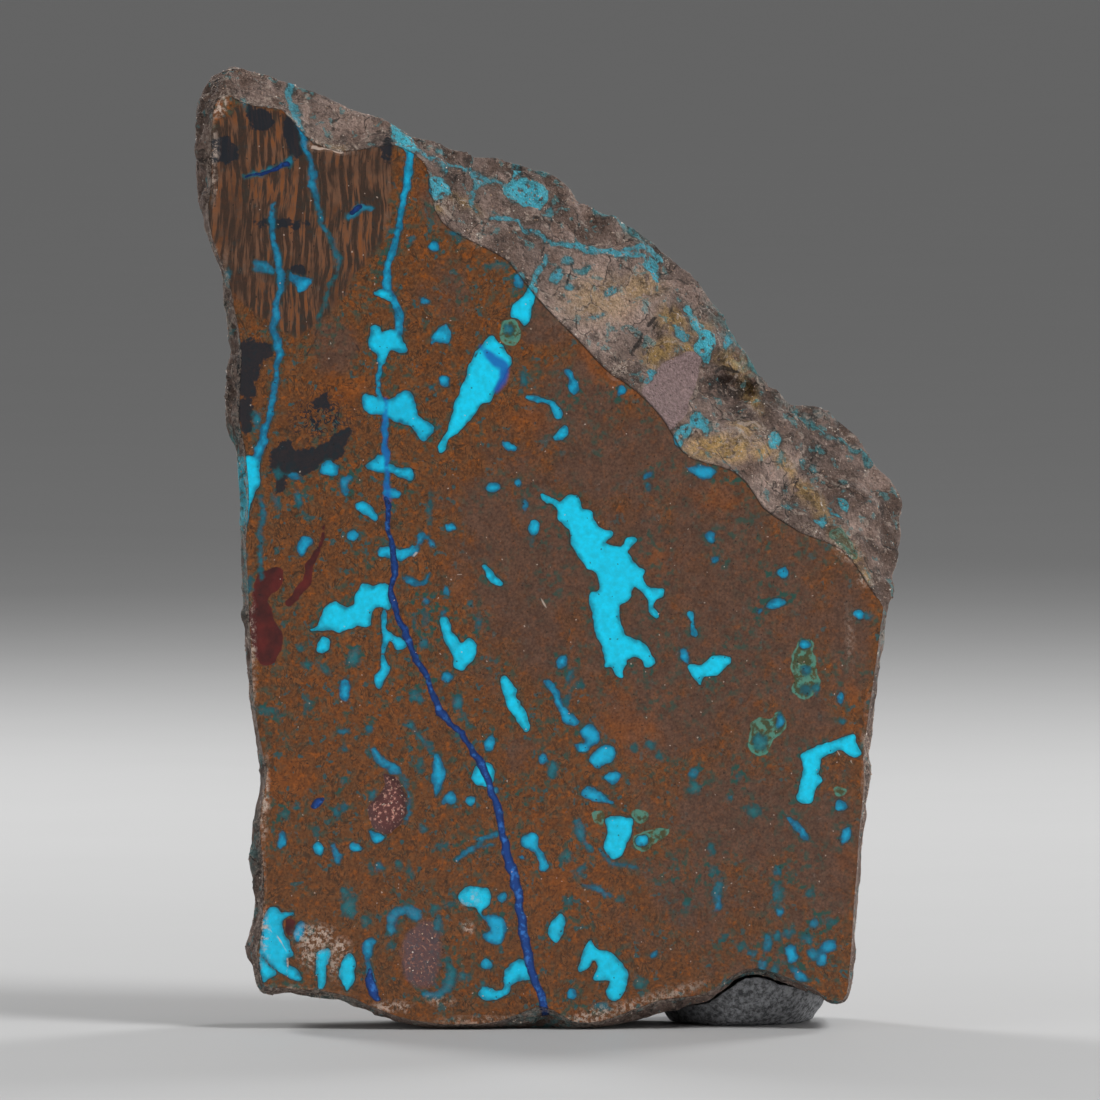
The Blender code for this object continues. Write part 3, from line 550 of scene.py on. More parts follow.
ORANGE_AREAS = [
    (1.0, 283, 780, 24, 26, 0), (0.9, 610, 370, 34, 16, -45), (0.8, 590, 350, 20, 14, -45),
    (0.5, 290, 250, 40, 26, 0), (0.6, 560, 880, 60, 60, 0), (0.5, 720, 500, 36, 16, 0),
    (0.5, 360, 700, 60, 60, 0), (0.5, 660, 560, 20, 14, 0), (0.6, 345, 390, 30, 18, 0),
    (0.5, 852, 720, 10, 60, 0), (0.4, 430, 600, 40, 60, 0), (0.5, 620, 720, 40, 30, 30),
    (0.6, 240, 275, 24, 14, -20), (0.6, 530, 420, 30, 20, -40), (0.5, 640, 740, 40, 26, 0),
    (0.4, 410, 190, 16, 60, 0), (0.6, 225, 175, 14, 14, 0), (0.5, 850, 860, 14, 40, 0)]
GREEN_STAINS = [
    (0.8, 385, 190, 10, 60, 5), (0.6, 640, 835, 40, 22, 0), (0.5, 560, 760, 20, 20, 0),
    (0.6, 770, 585, 34, 26, 0), (0.5, 740, 470, 30, 22, 0), (0.6, 800, 950, 46, 34, 0),
    (0.5, 420, 615, 20, 20, 0), (0.4, 310, 820, 40, 26, 0), (0.5, 350, 480, 70, 30, 0),
    (0.5, 720, 540, 22, 22, 0), (0.5, 540, 800, 30, 30, 0), (0.4, 440, 700, 30, 30, 0),
    (0.6, 846, 800, 18, 40, 0), (0.4, 770, 520, 30, 30, 0), (0.5, 690, 872, 24, 24, 0)]
OCHRE_AREAS = [
    (1.0, 660, 352, 20, 12, 30), (0.9, 672, 322, 16, 12, -20), (0.9, 690, 352, 10, 12, 0),
    (0.8, 735, 366, 18, 9, -35), (0.9, 752, 398, 7, 20, 30), (1.0, 722, 448, 36, 12, 0),
    (0.8, 745, 428, 16, 5, -10), (0.9, 764, 452, 12, 6, 30), (0.8, 786, 466, 6, 18, 35),
    (0.8, 812, 500, 26, 8, -48), (0.5, 600, 300, 36, 22, 0), (0.6, 640, 290, 24, 14, 0),
    (0.5, 465, 205, 18, 6, -30), (0.6, 434, 208, 10, 5, -20), (0.5, 846, 548, 24, 8, -50),
    (0.7, 866, 580, 6, 9, 0), (0.7, 850, 822, 5, 20, 0), (0.5, 846, 632, 8, 26, 0),
    (0.5, 700, 330, 14, 8, 0), (0.5, 330, 148, 18, 4, -10)]
FACET = [
    (654, 374), (661, 366), (674, 358), (687, 353), (697, 354), (703, 363), (702, 374), (698, 384),
    (693, 392), (690, 402), (685, 416), (676, 427), (668, 430), (658, 416), (650, 404), (642, 392),
    (648, 383)]
# Painted shadow: the dark clefts and hollows of the broken slope, where shade falls
SLOPE_HOLLOW_SHADOWS = [
    (1.0, 722, 390, 26, 10, -10), (0.7, 700, 392, 8, 14, 0), (0.9, 815, 456, 30, 18, 40),
    (0.9, 780, 491, 15, 7, 20), (0.6, 741, 388, 12, 7, 0), (0.6, 795, 440, 16, 22, 20),
    (0.5, 640, 345, 6, 20, 20), (0.7, 734, 364, 12, 4, 20), (0.5, 850, 480, 18, 12, 40),
    (0.6, 330, 95, 34, 5, -25), (0.5, 876, 590, 8, 14, 0)]
# Partly the paler ground bevel of the slope and partly painted light, where the key lamp falls on the
# slope from above right
LIT_PALE_SLOPE = [
    (0.8, 575, 290, 60, 26, 42), (0.9, 610, 320, 60, 28, 42), (0.7, 640, 300, 30, 22, 0),
    (0.6, 650, 355, 30, 20, 20), (0.7, 770, 490, 70, 18, 40), (0.6, 720, 450, 40, 20, 20),
    (0.5, 840, 550, 50, 14, 50), (0.6, 700, 410, 20, 14, 0), (0.4, 490, 230, 50, 12, 35),
    (0.3, 330, 120, 50, 20, 20)]
PALE_CRUST = [
    (1.0, 315, 938, 17, 12, 0), (0.8, 308, 955, 9, 14, 0), (0.9, 340, 948, 10, 9, 0),
    (0.7, 334, 965, 5, 16, 0), (1.0, 263, 925, 4, 30, 6), (0.8, 256, 975, 3, 20, 0),
    (0.8, 300, 993, 40, 4, -4), (0.9, 265, 800, 3, 40, -3), (0.7, 345, 1003, 26, 4, -25),
    (0.8, 390, 1008, 18, 5, 10), (0.9, 405, 1008, 4, 5, 0), (0.6, 440, 1002, 14, 4, -10),
    (0.5, 500, 1022, 60, 4, 0), (0.7, 590, 1018, 30, 8, 15), (0.55, 640, 1004, 40, 6, 18),
    (0.5, 680, 992, 26, 5, 25), (0.6, 262, 870, 3, 26, 0), (0.8, 620, 368, 10, 9, 30),
    (0.8, 252, 640, 3, 36, 0), (0.6, 252, 700, 3, 34, 0), (0.8, 477, 240, 6, 6, 0),
    (0.7, 473, 230, 10, 4, -30), (0.8, 445, 205, 12, 7, -20), (0.7, 867, 579, 7, 8, 0),
    (0.25, 850, 640, 5, 30, 0), (0.6, 838, 548, 18, 4, -48), (0.6, 810, 530, 12, 5, -30),
    (0.7, 214, 160, 3, 36, 0), (0.9, 222, 104, 5, 16, -30), (0.7, 212, 250, 4, 14, 20),
    (0.6, 225, 330, 4, 60, 0), (0.5, 780, 450, 10, 8, 0), (0.6, 868, 768, 4, 60, 0),
    (0.5, 700, 320, 10, 12, 0), (0.5, 745, 440, 30, 14, 0), (0.4, 600, 300, 40, 20, 30),
    (0.5, 330, 148, 22, 4, -10), (0.5, 470, 900, 10, 6, 20), (0.8, 468, 928, 5, 6, 0)]
SCRATCHES = [
    [(374.6, 277, 0.9), (375.2, 288, 0.9)],
    [(268, 929, 0.7), (277, 937, 0.8), (284, 950, 0.8), (287, 964, 0.8), (287, 980, 0.6)],
    [(541, 597, 0.5), (545, 607, 0.8)],
    [(283, 601, 0.9), (289, 612, 0.9)],
    [(694, 394, 0.6), (701, 387, 0.9)],
    [(413, 557, 1.0), (416, 554, 1.0)],
    [(755, 683, 0.6), (762, 682, 0.7)],
    [(838, 752, 0.6), (839, 763, 0.6)],
    [(852, 758, 0.5), (853, 766, 0.5)],
    [(492, 570, 0.6), (502, 569, 0.6)],
    [(454, 577, 0.7), (462, 574, 0.5)],
    [(587, 248, 0.8), (600, 243, 0.9), (612, 242, 0.8)],
    [(613, 253, 0.8), (621, 243, 0.8), (628, 239, 0.6)],
    [(612, 261, 0.7), (634, 256, 0.8), (640, 254, 0.6)],
    [(738, 427, 1.4), (752, 428, 1.6), (765, 431, 1.2)],
    [(733, 412, 0.9), (738, 424, 1.0), (742, 430, 0.8)],
    [(754, 409, 0.8), (762, 424, 1.0), (769, 434, 0.8)],
    [(442, 206, 1.4), (446, 212, 1.8), (453, 220, 1.4)],
    [(313, 146, 1.6), (328, 150, 1.2), (341, 151, 2.0)],
    [(841, 441, 0.6), (853, 449, 0.8), (862, 457, 0.6)],
    [(815, 480, 0.8), (808, 468, 0.8)],
]
COATED_WALL = [
    (1.0, 236, 480, 10, 60, 0), (0.9, 247, 570, 9, 40, 0), (0.8, 250, 850, 9, 34, 0),
    (0.7, 254, 770, 7, 20, 0), (0.8, 545, 1024, 34, 14, 0), (0.6, 330, 1002, 34, 8, 0),
    (0.5, 640, 232, 40, 12, -35), (0.5, 735, 345, 12, 50, 30), (0.4, 800, 412, 40, 6, -20),
    (0.5, 222, 330, 8, 30, 0), (0.4, 880, 640, 6, 30, 0), (0.5, 258, 990, 8, 8, 0),
    (0.7, 760, 979, 30, 5, 0)]


def across(trace_x):
    """X in metres of a pixel column."""
    return (trace_x - TRACE_MIDDLE) * METRES_PER_PIXEL


def up(trace_y):
    """Z in metres of a pixel row."""
    return (TRACE_FLOOR - trace_y) * METRES_PER_PIXEL


def linear_colour(red, green, blue):
    """A picture's 0 to 255 colour as the linear values that a shader takes."""
    shares = [value / 255 for value in (red, green, blue)]
    return tuple(share / 12.92 if share <= 0.04045 else ((share + 0.055) / 1.055) ** 2.4
                 for share in shares)


def smooth(value, low, high):
    """0 below low, 1 above high, smooth between, for arrays. It falls where low is above high."""
    share = np.clip((value - low) / (high - low), 0, 1)
    return share * share * (3 - 2 * share)


# Distances to the markings, in pixels: positive inside
def rounded(outline):
    """A closed outline drawn as a curve through its points."""
    corners = np.array(outline, float)
    made = []
    for n in range(len(corners)):
        before, start, end, after = (corners[(n + k) % len(corners)] for k in (-1, 0, 1, 2))
        steps = max(1, round(float(np.linalg.norm(end - start)) / ROUNDING_STEP))
        for share in np.arange(steps) / steps:
            made.append(0.5 * (2 * start + (end - before) * share
                               + (2 * before - 5 * start + 4 * end - after) * share ** 2
                               + (3 * start - before - 3 * end + after) * share ** 3))
    return np.array(made)


def near(places, shape):
    """Which places lie within reach of a shape's box."""
    low, high = shape.min(axis=0), shape.max(axis=0)
    return np.flatnonzero(((places > low - REACH) & (places < high + REACH)).all(axis=1))


def outline_depth(places, outline):
    """How deep each place lies inside a closed outline, negative outside."""
    ends = np.roll(outline, -1, axis=0)
    run = ends - outline
    offset = places[:, None] - outline[None]
    share = np.clip((offset * run).sum(-1) / np.maximum((run * run).sum(-1), TINY), 0, 1)
    gap = np.linalg.norm(offset - share[..., None] * run, axis=-1).min(axis=1)
    x, y = places[:, :1], places[:, 1:]
    spans = (outline[:, 1] > y) != (ends[:, 1] > y)
    slope = run[:, 0] / np.where(run[:, 1] == 0, TINY, run[:, 1])
    inside = (spans & (x < outline[:, 0] + (y - outline[:, 1]) * slope)).sum(axis=1) % 2 == 1
    return np.where(inside, gap, -gap)


def vein_depth(places, vein):
    """How deep each place lies inside a vein of changing width, and how far along it, from 0 to 1."""
    rows = np.array(vein, float)
    start, end, half = rows[:-1, :2], rows[1:, :2], rows[:, 2]
    run = end - start
    offset = places[:, None] - start[None]
    share = np.clip((offset * run).sum(-1) / (run * run).sum(-1), 0, 1)
    gap = np.linalg.norm(offset - share[..., None] * run, axis=-1)
    depth = half[:-1] + (half[1:] - half[:-1]) * share - gap
    best = depth.argmax(axis=1)
    rows_here = np.arange(len(places))
    return depth[rows_here, best], (best + share[rows_here, best]) / len(run)


def spot_depth(places, x, y, half_width, half_height, turn):
    """How deep each place lies inside an ellipse."""
    angle = math.radians(turn)
    offset_x, offset_y = places[:, 0] - x, places[:, 1] - y
    along = (offset_x * math.cos(angle) - offset_y * math.sin(angle)) / half_width
    aside = (offset_x * math.sin(angle) + offset_y * math.cos(angle)) / half_height
    return (1 - np.hypot(along, aside)) * min(half_width, half_height)


def soft_area(places, areas):
    """The strongest of several soft ellipses at each place, from 0 to 1."""
    total = np.zeros(len(places))
    for weight, x, y, half_width, half_height, turn in areas:
        depth = spot_depth(places, x, y, half_width, half_height, turn) / min(half_width, half_height)
        total = np.maximum(total, weight * smooth(depth, *SOFT_SPAN))
    return total


def union(places, outlines=(), veins=()):
    """The depth inside the nearest of several markings, in millimetres."""
    depth = np.full(len(places), FAR_AWAY)
    for outline in outlines:
        curve = rounded(outline)
        here = near(places, curve)
        found = outline_depth(places[here], curve) * MILLIMETRES_PER_PIXEL
        depth[here] = np.maximum(depth[here], found)
    for vein in veins:
        here = near(places, np.array(vein, float)[:, :2])
        found = vein_depth(places[here], vein)[0] * MILLIMETRES_PER_PIXEL
        depth[here] = np.maximum(depth[here], found)
    return depth


def turquoise(places):
    """The depth inside the turquoise stone, in millimetres, and its brightness."""
    depth = np.full(len(places), FAR_AWAY)
    tone = np.full(len(places), FAR_TONE)

    def keep(here, found, brightness):
        found = found * MILLIMETRES_PER_PIXEL
        better = found > depth[here]
        depth[here[better]] = found[better]
        tone[here[better]] = np.broadcast_to(brightness, found.shape)[better]

    for brightness, outline in PATCHES.values():
        curve = rounded(outline)
        here = near(places, curve)
        keep(here, outline_depth(places[here], curve), brightness)
    for first, last, vein in VEINS.values():
        here = near(places, np.array(vein, float)[:, :2])
        found, along = vein_depth(places[here], vein)
        keep(here, found, first + (last - first) * along)
    for brightness, x, y, half_width, half_height, turn in SPOTS + GREEN_SPOTS:
        size = max(half_width, half_height)
        here = near(places, np.array([(x - size, y - size), (x + size, y + size)]))
        keep(here, spot_depth(places[here], x, y, half_width, half_height, turn), brightness)
    return depth, tone


# The slab's mesh
def at_level(points, level):
    """Which points lie on a flat face at this y."""
    return np.abs(points[:, 1] - level) < FLAT_GAP


def merged_copy(node):
    """A node's own mesh, copied, with its loose triangles joined at their corners."""
    shape = bmesh.new()
    shape.from_mesh(frame["nodes"][node].data)
    bmesh.ops.remove_doubles(shape, verts=shape.verts[:], dist=MERGE_GAP)
    return shape


def rim_loop(shape, level):
    """The corners of the one open edge that lies at this level, in order."""
    open_edges = [edge for edge in shape.edges
                  if edge.is_boundary and all(abs(v.co.y - level) < FLAT_GAP for v in edge.verts)]
    following = {}
    for edge in open_edges:
        for corner in edge.verts:
            following.setdefault(corner, []).append(edge.other_vert(corner))
    first = open_edges[0].verts[0]
    loop, before, here = [first], first, following[first][0]
    while here is not first:
        loop.append(here)
        before, here = here, next(corner for corner in following[here] if corner is not before)
    return loop


def refill_flat(shape, level, step, faces_front):
    """Puts an even triangle mesh in the place of the long triangles of a flat face."""
    flat = [face for face in shape.faces if all(abs(v.co.y - level) < FLAT_GAP for v in face.verts)]
    bmesh.ops.delete(shape, geom=flat, context="FACES")
    loop = rim_loop(shape, level)
    edge = np.array([(corner.co.x, corner.co.z) for corner in loop])
    if (edge[:, 0] * np.roll(edge[:, 1], -1) - np.roll(edge[:, 0], -1) * edge[:, 1]).sum() < 0:
        loop.reverse()
        edge = edge[::-1].copy()
    row_height = step * math.sqrt(3) / 2
    low, high = edge.min(axis=0), edge.max(axis=0)
    columns = np.arange(low[0], high[0], step)
    lattice = []
    for n, z in enumerate(np.arange(low[1], high[1], row_height)):
        lattice += [(x + step / 2 * (n % 2), z) for x in columns]
    lattice = np.array(lattice)
    lattice = lattice[outline_depth(lattice, edge) > step * EDGE_ROOM]
    flat_points = [Vector(point) for point in np.vstack([edge, lattice])]
    made = delaunay_2d_cdt(flat_points, [], [list(range(len(loop)))], 1, FLAT_GAP / 10)
    corners = []
    for place, sources in zip(made[0], made[3]):
        source = min(sources) if sources else len(loop)
        corners.append(loop[source] if source < len(loop) else shape.verts.new((place.x, level, place.y)))
    for triangle in made[2]:
        turned = [corners[n] for n in triangle]
        shape.faces.new(turned if faces_front else turned[::-1])


def as_arrays(shape):
    """A triangle mesh as arrays of points and of corner numbers."""
    bmesh.ops.triangulate(shape, faces=shape.faces[:])
    shape.verts.index_update()
    points = np.array([corner.co for corner in shape.verts])
    faces = np.array([[corner.index for corner in face.verts] for face in shape.faces])
    shape.free()
    return points, faces


def cut_long_edges(points, faces, shortest, wanted):
    """Halves every edge that is longer than is wanted there, and cuts the triangles beside it to suit."""
    pairs = np.sort(faces[:, [0, 1, 1, 2, 2, 0]].reshape(-1, 2), axis=1)
    keys, where = np.unique(pairs[:, 0] * len(points) + pairs[:, 1], return_inverse=True)
    edges = np.stack([keys // len(points), keys % len(points)], axis=1)
    start, end = points[edges[:, 0]], points[edges[:, 1]]
    middle = (start + end) / 2
    lengths = np.linalg.norm((end - start)[:, :3], axis=1)
    long = lengths > shortest
    long[long] = lengths[long] > wanted(middle[long])
    number = np.full(len(edges), -1)
    number[long] = len(points) + np.arange(long.sum())
    mids = number[where.reshape(-1, 3)]
    cuts = (mids >= 0).sum(axis=1)
    made = [faces[cuts == 0]]
    for shift in range(3):
        turned, cut = np.roll(faces, -shift, axis=1), np.roll(mids, -shift, axis=1)
        (a, b, c), (ab, bc, ca) = turned.T, cut.T
        one = (cuts == 1) & (ab >= 0)
        made.append(np.stack([a, ab, c], axis=1)[one])
        made.append(np.stack([ab, b, c], axis=1)[one])
        two = (cuts == 2) & (ca < 0)
        made.append(np.stack([ab, b, bc], axis=1)[two])
        made.append(np.stack([a, ab, bc], axis=1)[two])
        made.append(np.stack([a, bc, c], axis=1)[two])
    (a, b, c), (ab, bc, ca) = faces[cuts == 3].T, mids[cuts == 3].T
    made += [np.stack(corners, axis=1)
             for corners in ((a, ab, ca), (ab, b, bc), (ca, bc, c), (ab, bc, ca))]
    return np.vstack([points, middle[long]]), np.vstack(made)


def trace_places(points, finish):
    """Where the picture shows each point, in its pixels. A small shift turns the outlines ragged."""
    columns = points[:, 0] / METRES_PER_PIXEL + TRACE_MIDDLE
    rows = TRACE_FLOOR - points[:, 2] / METRES_PER_PIXEL
    places = np.stack([columns, rows], axis=1)
    for share in (1.0, FINER_SHARE):
        scaled = points[:, :3] / (finish.ragged_size * share)
        turns = np.array([noise.noise_vector(point) for point in scaled.tolist()])
        places += turns[:, ::2] * (finish.ragged_shift * share) / METRES_PER_PIXEL
    return places


def corner_normals(points, faces):
    """The mean direction of the faces round each point."""
    a, b, c = points[faces[:, 0]], points[faces[:, 1]], points[faces[:, 2]]
    direction = np.cross(b - a, c - a)
    normals = np.zeros_like(points)
    for n in range(3):
        np.add.at(normals, faces[:, n], direction)
    return normals / np.maximum(np.linalg.norm(normals, axis=1, keepdims=True), TINY_AREA)


def slab_arrays(finish):
    """The slab's mesh, fine along the markings and the broken slope and coarser elsewhere."""
    shape = merged_copy("slab")
    refill_flat(shape, SLAB_LOW.y, finish.face_step, True)
    refill_flat(shape, SLAB_HIGH.y, finish.face_step, False)
    points, faces = as_arrays(shape)
    points = np.hstack([points, corner_normals(points, faces)[:, 1:2]])

    def wanted(middle):
        length = np.where(middle[:, 3] < finish.slope_facing, finish.slope_step, finish.wall_step)
        length = np.where(at_level(middle, SLAB_HIGH.y), finish.back_step, length)
        flat = at_level(middle, SLAB_LOW.y)
        places = trace_places(middle[flat], finish)
        others = union(places, GREEN_OVALS, BLUE_VEINS.values())
        edge_gap = np.minimum(np.abs(turquoise(places)[0]), np.abs(others))
        margin = finish.marking_margin * MILLIMETRES
        length[flat] = np.where(edge_gap < margin, finish.marking_step, finish.plain_step)
        return length

    for _ in range(CUT_PASSES):
        points, faces = cut_long_edges(points, faces, finish.marking_step, wanted)
    return points[:, :3], faces


def even_out(points, faces, movable, rounds, share):
    """Draws each movable point towards the mean of its neighbours."""
    pairs = faces[:, [0, 1, 1, 2, 2, 0]].reshape(-1, 2)
    count = np.bincount(pairs.ravel(), minlength=len(points))[:, None]
    for _ in range(rounds):
        total = np.zeros_like(points)
        np.add.at(total, pairs[:, 0], points[pairs[:, 1]])
        np.add.at(total, pairs[:, 1], points[pairs[:, 0]])
        points = points + share * movable[:, None] * (total / count - points)
    return points


def hidden_wander(points, normals, finish):
    """How far the markings have drifted behind the rim, in pixels, where veins run on into the slab."""
    shown = np.flatnonzero(normals[:, 1] < FRONT_FACING)
    tree = kdtree.KDTree(len(shown))
    for row, n in enumerate(shown):
        tree.insert((points[n, 0], 0, points[n, 2]), row)
    tree.balance()
    drift = np.zeros((len(points), 2))
    for n in np.flatnonzero(normals[:, 1] >= FRONT_FACING):
        x, y, z = points[n]
        row = tree.find((x, 0, z))[1]
        behind = max(0.0, y - points[shown[row], 1])
        turn = noise.noise_vector(Vector((x, y, z)) / finish.wander_size)
        drift[n] = (turn.x * behind, turn.z * behind)
    return drift * finish.wander_share / METRES_PER_PIXEL


def markings(points, normals, finish):
    """Every marking's own number at each point, by name."""
    places = trace_places(points, finish) + hidden_wander(points, normals, finish)
    depth, tone = turquoise(places)
    flat_front, flat_back = at_level(points, SLAB_LOW.y), at_level(points, SLAB_HIGH.y)
    worn = smooth(finish.worn_depth - (points[:, 1] - SLAB_LOW.y), 0.0, finish.worn_depth)
    worn_side = np.maximum(smooth(-points[:, 0], *WORN_LEFT), smooth(points[:, 2], *WORN_LOW))
    return {
        "turquoise": depth,
        "turquoise_tone": tone,
        "deep_blue": union(places, veins=BLUE_VEINS.values()),
        "blue_thread": union(places, veins=[BLUE_THREAD, TEARDROP_BAND]),
        "green_oval": union(places, GREEN_OVALS),
        "red_stone": union(places, RED_STONE, RED_VEINS),
        "granular": union(places, GRANULAR_STONE),
        "purple": union(places, PURPLE_STONE),
        "dark_stone": union(places, DARK_STONE),
        "crack": union(places, veins=CRACKS),
        "striped": union(places, [STRIPED_STONE]),
        "facet": union(places, [FACET]),
        "scratch": union(places, veins=SCRATCHES),
        "squiggle": soft_area(places, SQUIGGLE_AREA),
        "mauve": soft_area(places, MAUVE_AREAS),
        "orange": soft_area(places, ORANGE_AREAS),
        "green_stain": soft_area(places, GREEN_STAINS),
        "ochre": soft_area(places, OCHRE_AREAS),
        "dark_slope": soft_area(places, SLOPE_HOLLOW_SHADOWS),
        "pale_crust": soft_area(places, PALE_CRUST),
        "pale_slope": soft_area(places, LIT_PALE_SLOPE),
        "coat": soft_area(places, COATED_WALL),
        "worn_edge": worn * np.where(flat_front, 0.0, 1.0) * worn_side,
        "rough": np.where(flat_front | flat_back, 0.0, 1.0),
        "sawn": np.where(flat_back, 1.0, 0.0),
        "foot": smooth(points[:, 2], *SLAB_FOOT),
    }


def mesh_object(name, points, faces):
    """A plain mesh object in the scene, at the origin."""
    mesh = bpy.data.meshes.new(name)
    mesh.from_pydata(points.tolist(), [], faces.tolist())
    mesh.validate()
    made = bpy.data.objects.new(name, mesh)
    bpy.context.scene.collection.objects.link(made)
    return made


def store(mesh, values):
    """Keeps each marking's numbers with the mesh's points."""
    for name, numbers in values.items():
        layer = mesh.attributes.new(name, "FLOAT", "POINT")
        layer.data.foreach_set("value", np.asarray(numbers, np.float32))


def sharpen_between(mesh, in_group):
    """Marks the edges where a group of faces ends as sharp, and shades the rest smooth."""
    mesh.shade_smooth()
    counts = {}
    for face, inside in zip(mesh.polygons, in_group):
        for key in face.edge_keys:
            counts[key] = counts.get(key, 0) + int(inside)
    sharp = mesh.attributes.get("sharp_edge") or mesh.attributes.new("sharp_edge", "BOOLEAN", "EDGE")
    sharp.data.foreach_set("value", [counts[tuple(sorted(edge.vertices))] == 1 for edge in mesh.edges])


# Nodes
class Graph:
    """A tree of nodes, built node by node."""

    def __init__(self, graph):
        self.graph = graph

    def put(self, socket, value):
        """Links a socket to another one, or sets its value."""
        if isinstance(value, bpy.types.NodeSocket):
            self.graph.links.new(value, socket)
        elif socket.type == "RGBA" and len(value) == 3:
            socket.default_value = (*value, 1.0)
        else:
            socket.default_value = value

    def add(self, kind, values=(), out=0, **settings):
        """A node with its settings and inputs filled in. Gives one of its outputs."""
        node = self.graph.nodes.new(kind)
        for name, value in settings.items():
            setattr(node, name, value)
        for name, value in dict(values).items():
            self.put(node.inputs[name], value)
        return node.outputs[out]

    def number(self, operation, *values, clamp=False):
        return self.add("ShaderNodeMath", enumerate(values), operation=operation, use_clamp=clamp)

    def times(self, first, second, clamp=False):
        return self.number("MULTIPLY", first, second, clamp=clamp)

    def scaled(self, vector, factor):
        return self.add("ShaderNodeVectorMath", {0: vector, "Scale": factor}, operation="SCALE")


class Tree(Graph):
    """A Geometry Nodes tree, with an input for each of its sizes."""

    noise_middle = 0.5
    usual_gap = 0.4

    def __init__(self, name, sizes):
        super().__init__(bpy.data.node_groups.new(name, "GeometryNodeTree"))
        sockets = self.graph.interface
        sockets.new_socket(name="Geometry", in_out="INPUT", socket_type="NodeSocketGeometry")
        sockets.new_socket(name="Geometry", in_out="OUTPUT", socket_type="NodeSocketGeometry")
        for label, kind in sizes.items():
            sockets.new_socket(name=label, in_out="INPUT", socket_type=kind)
        self.inputs = self.graph.nodes.new("NodeGroupInput").outputs
        self.result = self.graph.nodes.new("NodeGroupOutput").inputs["Geometry"]

    def random(self, kind, values, out=0):
        return self.add("FunctionNodeRandomValue", values, out=out, data_type=kind)

    def attribute(self, name):
        return self.add("GeometryNodeInputNamedAttribute", {"Name": name}, data_type="FLOAT")

    def cloud(self, size, detail):
        """Noise from about -0.5 to 0.5 over this size."""
        place = self.add("GeometryNodeInputPosition")
        scale = self.number("DIVIDE", 1.0, size)
        values = {"Vector": place, "Scale": scale, "Detail": detail}
        found = self.add("ShaderNodeTexNoise", values, out="Fac")
        return self.number("SUBTRACT", found, self.noise_middle)

    def cell_distance(self, size):
        """Flat-sided bumps of this size, from the distance to the nearest of scattered points."""
        scale = self.number("DIVIDE", 1.0, size)
        place = self.add("GeometryNodeInputPosition")
        found = self.add("ShaderNodeTexVoronoi", {"Vector": place, "Scale": scale},
                         out="Distance", distance="CHEBYCHEV")
        return self.number("SUBTRACT", self.usual_gap, found)

    def finish(self, geometry, material):
        """Ends the tree in Realize Instances and Set Material."""
        solid = self.add("GeometryNodeRealizeInstances", {"Geometry": geometry})
        dressed = self.add("GeometryNodeSetMaterial", {"Geometry": solid, "Material": material})
        self.put(self.result, dressed)


def apply_tree(source, tree, values, name):
    """Runs a tree on an object and gives the result as a new object with a plain mesh."""
    modifier = source.modifiers.new(tree.graph.name, "NODES")
    modifier.node_group = tree.graph
    for socket in tree.graph.interface.items_tree:
        if socket.item_type == "SOCKET" and socket.in_out == "INPUT" and socket.name in values:
            modifier[socket.identifier] = values[socket.name]
    depsgraph = bpy.context.evaluated_depsgraph_get()
    mesh = bpy.data.meshes.new_from_object(source.evaluated_get(depsgraph), depsgraph=depsgraph)
    source.modifiers.remove(modifier)
    mesh.name = name
    made = bpy.data.objects.new(name, mesh)
    bpy.context.scene.collection.objects.link(made)
    return made


RELIEF_SIZES = ("Pit Depth", "Pit Size", "Grain Depth", "Grain Size", "Facet Depth", "Facet Size")


def relief_tree(material):
    """Sinks the broken stone into pits and steps along its normals. The polished face stays flat."""
    tree = Tree("Broken stone relief", dict.fromkeys(RELIEF_SIZES, "NodeSocketFloat"))
    inputs = tree.inputs
    broken = tree.times(tree.attribute("relief"), tree.attribute("foot"))
    pits = tree.times(tree.cloud(inputs["Pit Size"], 3.0), inputs["Pit Depth"])
    grain = tree.times(tree.cloud(inputs["Grain Size"], 2.0), inputs["Grain Depth"])
    crystals = tree.times(tree.attribute("hollow"), inputs["Pit Depth"])
    facets = tree.times(tree.cell_distance(inputs["Facet Size"]), inputs["Facet Depth"])
    rise = tree.number("ADD", tree.number("ADD", pits, grain), facets)
    rise = tree.number("SUBTRACT", tree.times(rise, broken), crystals)
    offset = tree.scaled(tree.add("GeometryNodeInputNormal"), rise)
    moved = tree.add("GeometryNodeSetPosition", {"Geometry": inputs["Geometry"], "Offset": offset})
    tree.finish(moved, material)
    return tree


def grain_tree(material):
    """Scatters small pale crystals over the broken stone, half sunk into it."""
    kinds = dict.fromkeys(("Density", "Smallest", "Largest"), "NodeSocketFloat")
    tree = Tree("Pale crystal grains", {**kinds, "Seed": "NodeSocketInt"})
    inputs = tree.inputs
    seed = inputs["Seed"]
    density = tree.times(tree.attribute("grains"), inputs["Density"])
    spread = {"Mesh": inputs["Geometry"], "Density": density, "Seed": seed}
    points = tree.add("GeometryNodeDistributePointsOnFaces", spread)
    crystal = tree.add("GeometryNodeMeshIcoSphere", {"Radius": 1.0, "Subdivisions": 1})
    turn = tree.random("FLOAT_VECTOR", {"Min": (0.0, 0.0, 0.0), "Max": (math.tau,) * 3, "Seed": seed})
    size = tree.random("FLOAT", {2: inputs["Smallest"], 3: inputs["Largest"], "Seed": seed}, out=1)
    stretch = tree.random("FLOAT_VECTOR", {"Min": (0.5, 0.5, 0.5), "Max": (1.0, 1.0, 1.0)})
    scale = tree.scaled(stretch, size)
    placing = {"Points": points, "Instance": crystal, "Rotation": turn, "Scale": scale}
    tree.finish(tree.add("GeometryNodeInstanceOnPoints", placing), material)
    return tree


